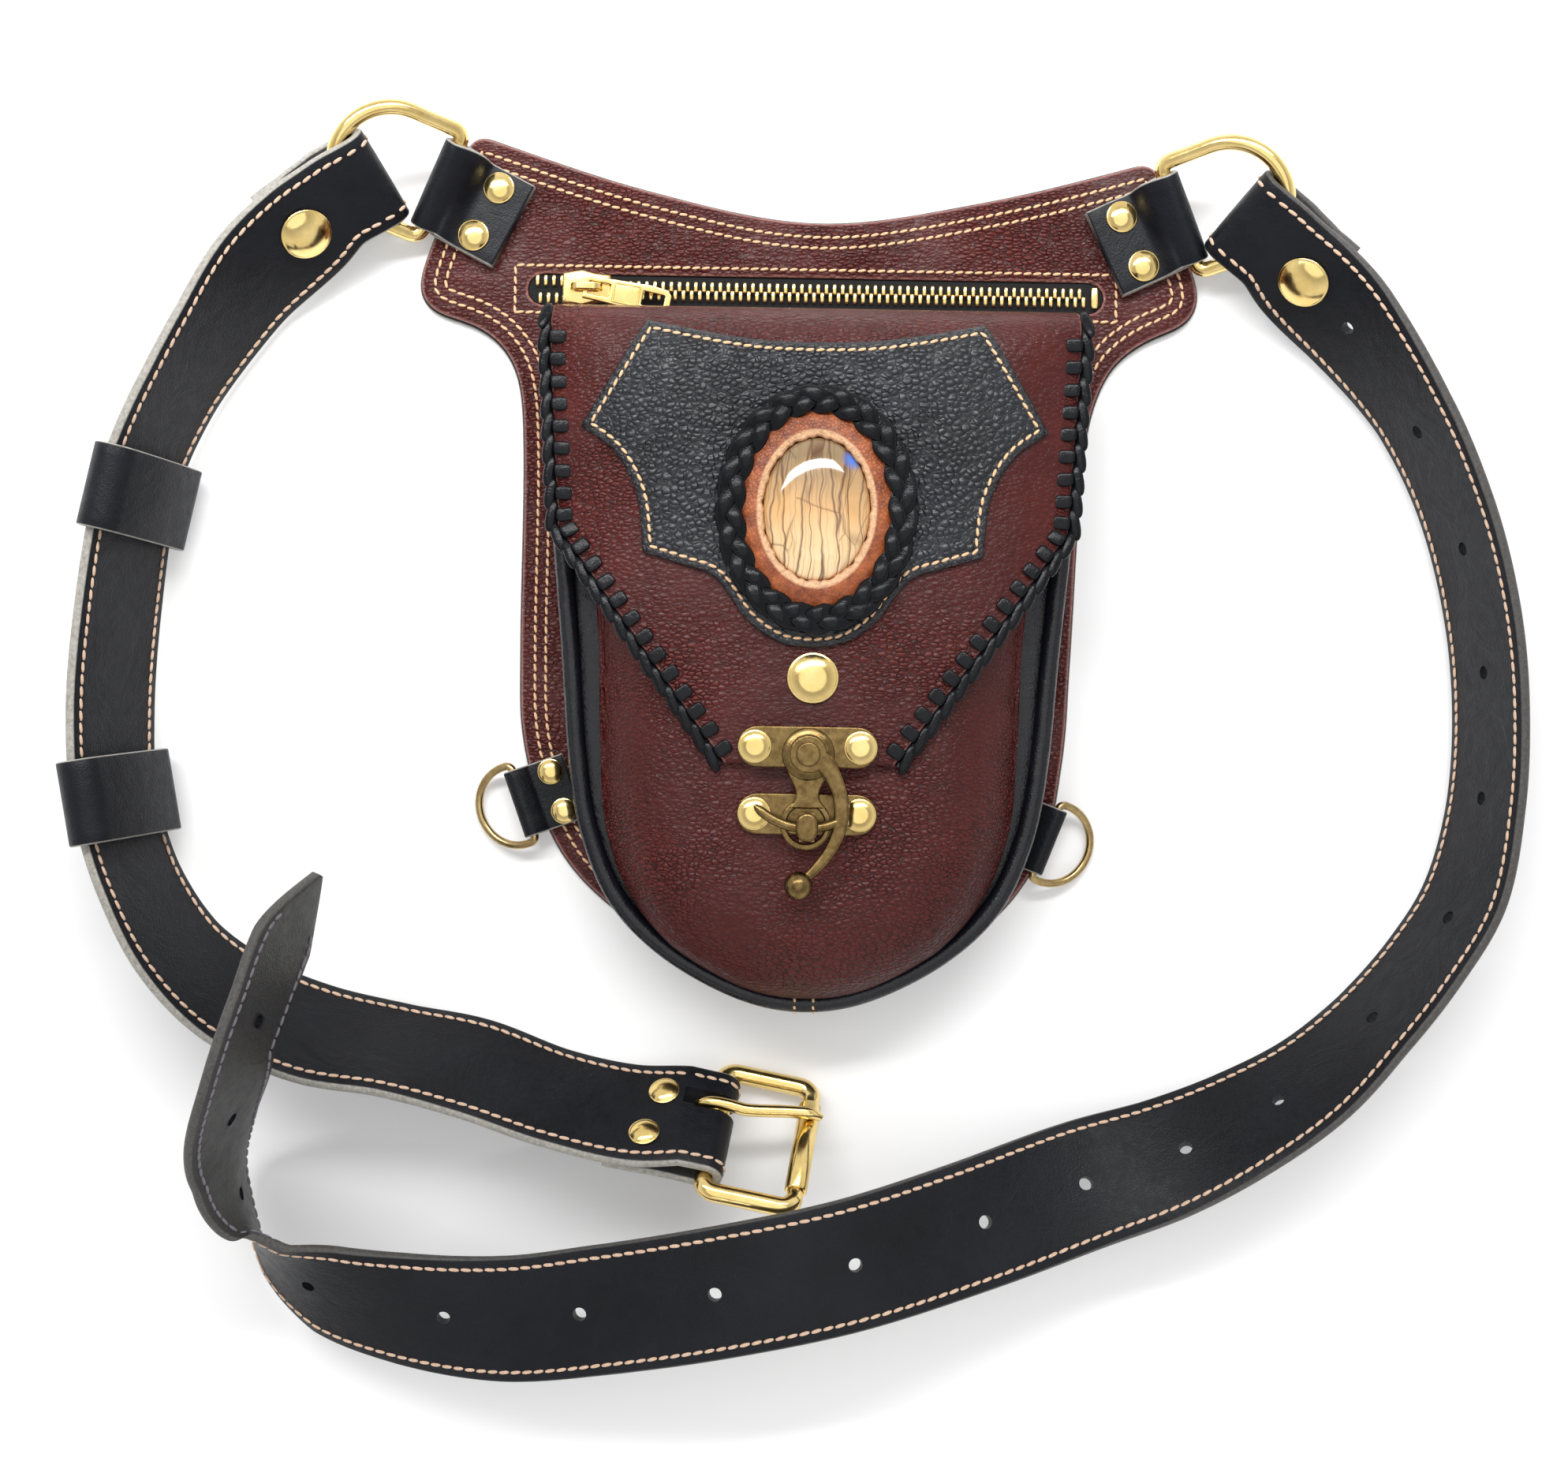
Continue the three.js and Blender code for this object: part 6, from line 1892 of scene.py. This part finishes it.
@dataclass
class Belt:
    """The belt: a left half with keepers, a right half with holes, and their snaps and seams."""

    thick: float = 3.0
    end_width: float = 29.0
    wire: float = 2.0
    seam: float = 3.4
    fold_reach: float = 7.6
    fold_rows: tuple = (2.3, 2.15, 2.0, 1.85, 1.7)
    fold_slack: float = 0.6
    snap_row: int = 2
    snap_seat: float = 0.7
    snap: Cap = Cap(7.6, 2.6, 48)
    holes: tuple = ((40, 37.1, 8), (330.5, 31.5, 2), (395, 40.7, 6), (634, 33.3, 3))
    hole_radius: float = 2.0
    hole_reach: float = 6.0
    left_marks: tuple = (0.1, 0.0, 1.0)
    right_marks: tuple = (0.0, 0.1, 0.22)
    keeper: tuple = (24.5, 1.8, 40.4, 4.2, 1.2)
    keeper_rows: tuple = (("upper", 7), ("lower", 10))
    tip: tuple = (-138, -66, 46, -105, 3)
    left_rows: tuple = (
        (-150.5, 121, 20, 44, 34), (-165, 107, 19.5, 58, 38), (-176, 90.5, 20.5, 66, 38),
        (-186, 73, 21.5, 71, 38), (-193.5, 56, 22.5, 72, 38), (-197.5, 42, 23, 71, 38),
        (-202, 12, 22, 69, 38), (-204, -20, 22, 68, 38), (-202, -46, 22.8, 69, 38),
        (-195, -70, 21.5, 68, 38), (-183, -91, 19, 62, 38), (-167, -105, 16.6, 53, 38),
        (-145, -114.5, 16.2, 50, 38), (-120, -119, 17, 54, 38), (-97, -124, 16.5, 50, 38),
        (-73, -132, 17.5, 52, 38), (-50, -136.5, 19, 49, 37))
    right_rows: tuple = (
        (143.5, 112, 19.8, 44, 34), (156.5, 99, 19.3, 58, 38), (175.5, 73, 20, 72, 38),
        (188.5, 45, 20.5, 75, 38), (196.5, 15, 20.5, 75, 38), (199.5, -13, 20.5, 75, 38),
        (198.5, -42, 20.5, 74, 38), (193, -68, 20, 70, 38), (182, -87, 20, 69, 38),
        (167, -106, 19.5, 66, 38), (150, -123, 18.5, 57, 38), (128, -137, 18, 46, 38),
        (107, -147, 17.5, 34, 38), (83, -155, 18.5, 19, 38), (49, -166, 28, 5, 38),
        (14, -175.5, 38.2, 0, 38), (-21, -183.5, 38, 0, 38), (-56, -191, 31, -2, 38),
        (-86, -195.5, 26, -8, 38), (-116, -193.5, 24, -22, 38), (-138, -188.5, 23, -36, 38),
        (-153, -180, 22.5, -60, 38), (-163, -165, 23.5, -86, 38), (-164.5, -145, 37.5, -99, 38),
        (-157.5, -120, 56, -102, 38), (-151, -99, 54, -103, 38), (-146.5, -85, 51.5, -104, 38))

    @property
    def lift(self) -> float:
        """How far the fold's middle lies from the ring's wire."""
        return self.wire + GAP + self.thick / 2

    def fold(self, ring: TopRing, run: BeltRun) -> Array:
        """The turned-under end: below the snap, back to the ring and round inside it.

        Args:
            ring: the ring that the end holds.
            run: the belt's run from the ring.

        Returns:
            The strap's rows.
        """
        middle, wide, face, width = run.at([run.share_of(row) for row in self.fold_rows])
        angle = math.pi * (1.5 - shares(9))
        turn = ring.fold_point(self.fold_reach + self.lift * np.cos(angle), self.lift * np.sin(angle))
        flat = ring.fold_point(np.array([19.5, 13.0]), -self.lift)
        return np.vstack([strap_rows(middle - (self.thick + GAP) * face, wide, width - self.fold_slack),
                          strap_rows(np.vstack([flat, turn]), ring.wide, self.end_width)])

    def run(self, ring: TopRing, rows: Sequence, end: Sequence[float]) -> BeltRun:
        """The run from a ring through rows of x, y, z, lean and width to an end row."""
        start = ring.fold_point(np.array([11, 19.5]), self.lift)
        first = [(*point, ring.lean, self.end_width) for point in start]
        return BeltRun(np.vstack([first, rows, [end]]), ring.hand)

    def strap(self, rows: Array, count: int, marks: tuple) -> Shell:
        """A half's leather: a number of evenly spaced rows with a marked section carried along them."""
        dense = resample(rows, count)
        return band(dense[:, :3], unit(dense[:, 3:6]), dense[:, 6], self.thick, False, 0.8, 0.12, marks)

    def seams(self, run: BeltRun, span: tuple, side: int = 1) -> Shell:
        """Two rows of stitches along the edges of one face.

        Args:
            run: the belt's run.
            span: the first and last share that they cover.
            side: 1 for the face, -1 for the back.

        Returns:
            The stitches' shell.
        """
        middle, wide, face, width = run.at(np.linspace(*span, 900))
        reach = (width / 2 - self.seam)[:, None] * wide
        line = middle + side * self.thick / 2 * face
        return joined(*(BELT_STITCH.row(line + sign * reach, side * face, hand=sign) for sign in (-1, 1)))

    def ring_seams(self, ring: TopRing) -> Shell:
        """Two rows of stitches that go on from the run round the outside of the fold in a ring.

        Args:
            ring: the ring.

        Returns:
            The stitches' shell.
        """
        angle = np.linspace(QUARTER, 1.12 * math.pi, 14)
        lift = self.lift + self.thick / 2
        reach = np.append([10.5, 9.0], self.fold_reach + lift * np.cos(angle))
        height = np.append([lift, lift], lift * np.sin(angle))
        line = ring.fold_point(reach, height)
        middle = ring.fold_point(self.fold_reach, 0)
        face = unit(ring.fold_point(np.minimum(reach, self.fold_reach), height) - middle)
        edge = (self.end_width / 2 - self.seam) * ring.wide
        return joined(*(BELT_STITCH.row(line + sign * edge, face, hand=sign) for sign in (-1, 1)))

    def snap_cap(self, side: Side, run: BeltRun) -> None:
        """Seats a snap's cap on the belt's face."""
        middle, _, face = run.spot(run.share_of(self.snap_row))
        seat = middle + (self.thick / 2 + self.snap_seat) * face
        self.snap.add("belt_snap_" + side.word, "strap_snap_" + side.word, seat, face)

    def left(self, ring: TopRing, buckle: "Buckle") -> None:
        """Makes the left half: ring fold, run, buckle fold, seams, snap and keepers.

        Args:
            ring: the ring that it starts from.
            buckle: the buckle that it ends in.
        """
        run = self.run(ring, self.left_rows, (*buckle.arrival(), buckle.lean, buckle.strap))
        middle, wide, _, width = run.at(shares(420))
        rows = np.vstack([self.fold(ring, run), strap_rows(middle, wide, width), buckle.strap_fold(run)])
        nodes = ["strap_left", "strap_left_end", "buckle_fold_inner", "buckle_fold_outer"]
        piece = add_piece("belt_left", self.strap(rows, 620, self.left_marks), BLACK, nodes)
        cut_out(piece, buckle.slot_cutter())
        folds = [buckle.fold_seam(sign, self.seam) for sign in (-1, 1)]
        seams = joined(self.seams(run, (0.0, 0.995)), *folds, self.ring_seams(ring))
        add_piece("belt_left_stitches", seams, BELT_THREAD)
        self.snap_cap(Side.LEFT, run)
        for name, row in self.keeper_rows:
            add_piece("keeper_band_" + name, self.loop(run, row), BLACK, ["keeper_" + name])
        buckle.caps(run)

    def loop(self, run: BeltRun, row: int) -> Shell:
        """A keeper: a band bent round the belt as a rounded box with bowed faces.

        Args:
            run: the belt's run.
            row: the row of the run that it goes round.

        Returns:
            The keeper's shell.
        """
        long, wall, inner, room, slack = self.keeper
        middle, wide, face = run.spot(run.share_of(row))
        back, front = self.thick / 2 + slack + wall / 2, self.thick / 2 + room + wall / 2
        half, mid, tall = (inner + wall) / 2, (front - back) / 2, (front + back) / 2
        corner = tall - 0.2
        turn = np.linspace(0, QUARTER, 8)
        quarter = columns(half - corner + corner * np.cos(turn), tall - corner + corner * np.sin(turn))
        box = np.vstack([quarter, quarter[::-1] * [-1, 1], -quarter, quarter[::-1] * [1, -1]])
        x, y = resample(box, 120, closed=True).T
        bow = 2.0 * np.cos(np.pi * x / (2 * half)) * np.clip(y / (tall - 1), -1, 1)
        path = middle + x[:, None] * wide + (mid + y + bow)[:, None] * face
        return band(path, -run.hand * np.cross(face, wide), long, wall, True, 0.5)

    def right(self, ring: TopRing) -> None:
        """Makes the right half: ring fold, run to a pointed tip, punched holes, seams on both faces and snap.

        Args:
            ring: the ring that it starts from.
        """
        run = self.run(ring, self.right_rows, self.tip)
        taper = 1 - run.share_of(1)
        reads = np.append(np.linspace(0, taper, 660), np.linspace(taper, 1, 30)[1:])
        middle, wide, _, width = run.at(reads)
        past = np.clip((reads - taper) / (1 - taper), 0, 1)
        width = np.where(past > 0, run.most + (self.tip[4] - run.most) * past**1.25, width)
        rows = np.vstack([self.fold(ring, run), strap_rows(middle, wide, width)])
        piece = add_piece("belt_right", self.strap(rows, 900, self.right_marks), BLACK, ["strap_right"])
        reaches = np.concatenate([start + pitch * np.arange(count) for start, pitch, count in self.holes])
        spots, _, ways, _ = run.at(run.share_at(reaches))
        radius, deep = self.hole_radius, self.hole_reach
        profile = [(0, -deep), (radius, -deep), (radius, deep), (0, deep)]
        cut_out(piece, joined(*(turned(profile, 16, spot, way) for spot, way in zip(spots, ways))))
        seams = joined(self.seams(run, (0.0, 0.975)), self.ring_seams(ring))
        add_piece("belt_right_stitches", seams, BELT_THREAD)
        add_piece("belt_back_stitches", self.seams(run, (0.62, 0.975), -1), DIM_THREAD)
        self.snap_cap(Side.RIGHT, run)


@dataclass
class Buckle:
    """The roller buckle at the end of the belt's left half."""

    bar: tuple = (-26.0, -140.6, 18.2)
    way: float = -11.0
    lean: float = 45.0
    half: float = 21.5
    reach: float = 27.0
    wire: float = 2.2
    corner: float = 4.0
    roller: float = 3.3
    span: float = 31.0
    prong: float = 3.2
    prong_off: float = -6.0
    strap: float = 34.5
    strap_thick: float = 3.0
    rivets: tuple = ((0.43, -7.5), (0.7, 7.5))
    rivet: Cap = Cap(4.6, 1.7, 40)
    under: tuple = ((0.55, 1.6), (0.9, 0.5), (1.25, 0.1))
    swell: float = 0.45

    def __post_init__(self) -> None:
        """Works out the buckle's own directions: along the belt, across it and out of its face."""
        ahead = compass(self.way)
        tip = math.radians(self.lean)
        self.wide = math.cos(tip) * np.array([ahead[1], -ahead[0], 0.0]) + math.sin(tip) * UP
        self.ways = np.array([ahead, self.wide, np.cross(self.wide, ahead)])
        self.lift = self.wire + GAP + self.strap_thick / 2

    def spot(self, along: Array | float, across: Array | float, height: Array | float) -> Array:
        """Points from their places along, across and over the buckle."""
        return np.array(self.bar) + columns(along, across, height) @ self.ways

    def arrival(self) -> Array:
        """Where the belt's run meets the fold."""
        return self.spot(-9.0, 0.0, self.lift)

    def strap_fold(self, run: BeltRun) -> Array:
        """The belt's fold round the bar and its end, which follows the run a thickness and a gap below it.

        Args:
            run: the belt's run to the buckle.

        Returns:
            The strap's rows.
        """
        angle = math.pi * (0.5 - shares(13))
        along = np.concatenate([[-4.5], self.lift * np.cos(angle), [-9]])
        over = np.concatenate([[self.lift], self.lift * np.sin(angle), [0.4 - self.lift]])
        back, drop = np.array(self.under).T
        middle, wide, face, width = run.at(1 - back * run.share_of(1))
        end = middle - (self.strap_thick + GAP + drop)[:, None] * face
        return np.vstack([strap_rows(self.spot(along, 0, over), self.wide, self.strap),
                          strap_rows(end, wide, np.minimum(width, self.strap))])

    def fold_seam(self, sign: int, inset: float) -> Shell:
        """A row of stitches that follows the outside of the fold round the bar.

        Args:
            sign: which edge, 1 or -1.
            inset: how far the row lies from the edge.

        Returns:
            The stitches' shell.
        """
        angle = np.linspace(QUARTER, -0.6, 14)
        reach = self.lift + self.strap_thick / 2
        along = np.append([-9, -6, -3], reach * np.cos(angle))
        over = np.append(np.full(3, reach), reach * np.sin(angle))
        across = sign * (self.strap / 2 - inset)
        line = self.spot(along, across, over)
        face = unit(line - self.spot(np.minimum(along, 0), across, 0))
        return BELT_STITCH.row(line, face, hand=sign)

    def slot_cutter(self) -> Shell:
        """The block that clears the fold for the prong.

        Returns:
            The block's shell.
        """
        long, wide, tall = 10.0, (self.prong + 2.8) / 2, 2 * self.lift
        along = -0.5 + long * np.array([-1, 1, 1, -1])
        across = self.prong_off + wide * np.array([-1, -1, 1, 1])
        return swept(self.spot(along, across, np.array([[-tall], [tall]])))

    def caps(self, run: BeltRun) -> None:
        """Seats the two rivets on the belt behind the fold.

        Args:
            run: the belt's run to the buckle.
        """
        for number, (back, offset) in enumerate(self.rivets, 1):
            middle, wide, face = run.spot(1 - back * run.share_of(1))
            seat = middle + offset * wide + (self.strap_thick / 2 + 0.25) * face
            self.rivet.add(f"buckle_cap_{number}", f"buckle_rivet_{number}", seat, face)

    def build(self) -> None:
        """Makes the frame, the roller and the prong."""
        near, far, side = self.corner, self.reach - self.corner, self.half - self.corner
        corners = []
        for quarter, centre in ((2, (near, -side)), (3, (far, -side)), (0, (far, side)), (1, (near, side))):
            turn = quarter * QUARTER + np.linspace(0, QUARTER, 9)
            corners.append(self.corner * columns(np.cos(turn), np.sin(turn)) + centre)
        along, across = resample(np.vstack(corners), 160, closed=True).T
        radius = self.wire + 0.2 + self.swell * ease(np.abs(across), 16.5, 19.5)
        loop = tube(self.spot(along, across, 0), radius, 18, self.ways[2], True)
        add_piece("buckle_loop", loop, BRIGHT, ["buckle_frame"], "buckle_frame")
        inner, outer, half = self.wire + GAP, self.roller, self.span / 2
        profile = [(inner, -half), (outer - 0.35, -half), (outer, -0.97 * half), (outer, 0.97 * half),
                   (outer - 0.35, half), (inner, half)]
        roller = self.sleeve(profile, self.reach, 0, 40)
        add_piece("roller", roller, BRIGHT, ["buckle_roller"], "buckle_roller", sharp=40)
        add_piece("prong", self.pin(), BRIGHT, ["buckle_prong"], "buckle_prong", sharp=50)

    def sleeve(self, profile: Sequence, along: float, across: float, sides: int) -> Shell:
        """A sleeve round an axis that lies across the buckle.

        Args:
            profile: rows of radius and place on the axis, once round the section.
            along: where the axis lies along the buckle.
            across: where the profile's place 0 lies on the axis.
            sides: points round the axis.

        Returns:
            The sleeve's shell.
        """
        radius, place = np.array(profile).T[..., None]
        angle = around(sides)
        rings = self.spot(along + radius * np.cos(angle), across + place, radius * np.sin(angle))
        return swept(rings, True)

    def pin(self) -> Shell:
        """The prong: a collar round the bar and a bar of rounded section that rests on the roller.

        Returns:
            The prong's shell.
        """
        inner, outer, half = self.wire + GAP, self.wire + GAP + 1.4, self.prong / 2
        profile = [(inner, -half), (outer - 0.3, -half), (outer, -0.8 * half), (outer, 0.8 * half),
                   (outer - 0.3, half), (inner, half)]
        rest = self.roller + GAP + half
        rows = [(-5.6, 1.2), (-4.6, 3.0), (-2.0, 4.6), (2.0, 5.0), (9.0, 4.4), (self.reach - 6, rest + 0.2),
                (self.reach, rest + 0.2), (self.reach + 3.4, rest - 1.4)]
        along, over = curve_at(rows, shares(50)).T
        path = self.spot(along, self.prong_off - 0.15 * np.maximum(along - 8, 0), over)
        radius = 1.3 * half * np.interp(shares(50), [0, 0.1, 0.85, 1], [0.8, 1, 0.95, 0.6])
        collar = self.sleeve(profile, 0, self.prong_off, 32)
        return joined(collar, tube(path, radius, 14, self.wide, flat=0.9))


# Studio


class Shape(Enum):
    """A lamp's outline."""

    OBLONG = "RECTANGLE"
    ROUND = "DISK"


@dataclass(frozen=True)
class Lamp:
    """A wide soft lamp aimed at the bag, placed in metres."""

    name: str
    shape: Shape
    spot: tuple
    size: tuple
    power: float
    shadow: bool = True
    target: tuple = (0.0, 0.0, 0.03)

    def build(self) -> None:
        """Hangs the lamp and turns it until it points at its target."""
        light = bpy.data.lights.new(self.name, "AREA")
        light.shape = self.shape.value
        light.size, light.size_y = self.size
        light.energy = self.power
        light.use_shadow = self.shadow
        holder = bpy.data.objects.new(self.name, light)
        holder.location = self.spot
        aim = unit(np.subtract(self.target, self.spot))
        holder.rotation_euler = (math.acos(-aim[2]), 0.0, math.atan2(aim[0], -aim[1]))
        bpy.context.scene.collection.objects.link(holder)


@dataclass
class Studio:
    """The pale floor, the soft light and the camera straight above."""

    eye: tuple = (-7.17, -25.84, 700.0)
    roll: float = 1.0
    focal_pixels: float = 2940.0
    image_width: float = 1988.0
    sensor: float = 36.0
    floor_half: float = 3.0
    floor_z: float = -0.0002
    floor_tones: tuple = ((0.3, (0.90, 0.90, 0.90)), (0.7, (0.93, 0.93, 0.93)))
    glow: tuple = ((0.4, (0.95, 0.95, 0.95)), (0.95, (0.3, 0.3, 0.3)))
    lamps: tuple = (Lamp("key", Shape.OBLONG, (-0.12, 0.66, 0.95), (1.3, 0.55), 40.0),
                    Lamp("fill", Shape.OBLONG, (0.3, -0.85, 0.9), (1.5, 0.5), 26.0),
                    Lamp("overhead", Shape.ROUND, (0.0, 0.0, 1.6), (1.9, 1.9), 9.0, shadow=False))

    def build(self) -> None:
        """Makes the floor, the lamps, the surrounding glow, dimmer overhead, and the camera."""
        scene = bpy.context.scene
        self.floor()
        world = Nodes(bpy.data.worlds.new("glow"), "Generated")
        world.dress("Background", Color=world.ramp(world.axis("Z"), self.glow))
        scene.world = world.holder
        for lamp in self.lamps:
            lamp.build()
        scene.view_settings.view_transform = "Standard"
        camera = bpy.data.cameras.new("camera")
        camera.sensor_width = self.sensor
        camera.lens = self.focal_pixels / self.image_width * self.sensor
        camera.clip_start = 0.01
        holder = bpy.data.objects.new("camera", camera)
        holder.location = scaled(self.eye, MM)
        holder.rotation_euler = (0, 0, math.radians(self.roll))
        scene.collection.objects.link(holder)
        scene.camera = holder

    def floor(self) -> None:
        """A wide pale sheet just under the bag."""
        mesh = bpy.data.meshes.new("floor")
        corners = raised(self.floor_half * np.array([(-1, -1), (1, -1), (1, 1), (-1, 1)]), self.floor_z)
        mesh.from_pydata(corners.tolist(), [], [(0, 1, 2, 3)])
        pale = Nodes(bpy.data.materials.new("pale_floor"))
        pale.dress(Base_Color=pale.ramp(pale.noise(3, 2), self.floor_tones), Roughness=0.75)
        mesh.materials.append(pale.holder)
        sheet = bpy.data.objects.new("floor", mesh)
        bpy.context.scene.collection.objects.link(sheet)


def main() -> None:
    """Builds the bag piece by piece, then the studio."""
    logging.basicConfig(level=logging.INFO, format="%(name)s %(message)s")
    flap = Flap()
    pouch = Pouch()
    buckle = Buckle()
    belt = Belt()
    left = TopRing(Side.LEFT, bar=(-111.8, 137, 11.2), way=210.7, turn=53, lean=34, off=-0.6)
    right = TopRing(Side.RIGHT, bar=(107.6, 131, 11.2), way=-39.3, turn=60, lean=34, off=-0.5)
    Back().build()
    ZipFastener().build()
    pouch.build()
    flap.build()
    Ornament().build(flap)
    Clasp().build(flap, pouch)
    left.build()
    right.build()
    SideRing(Side.LEFT, fold=(-87.4, -46.9), way=19.9, reach=15.5, rivet_at=10.6).build()
    SideRing(Side.RIGHT, fold=(74.2, -55.6), way=158.8, reach=12.5, rivet_at=8.8).build()
    belt.left(left, buckle)
    belt.right(right)
    buckle.build()
    Studio().build()


if __name__ == "__main__":
    main()
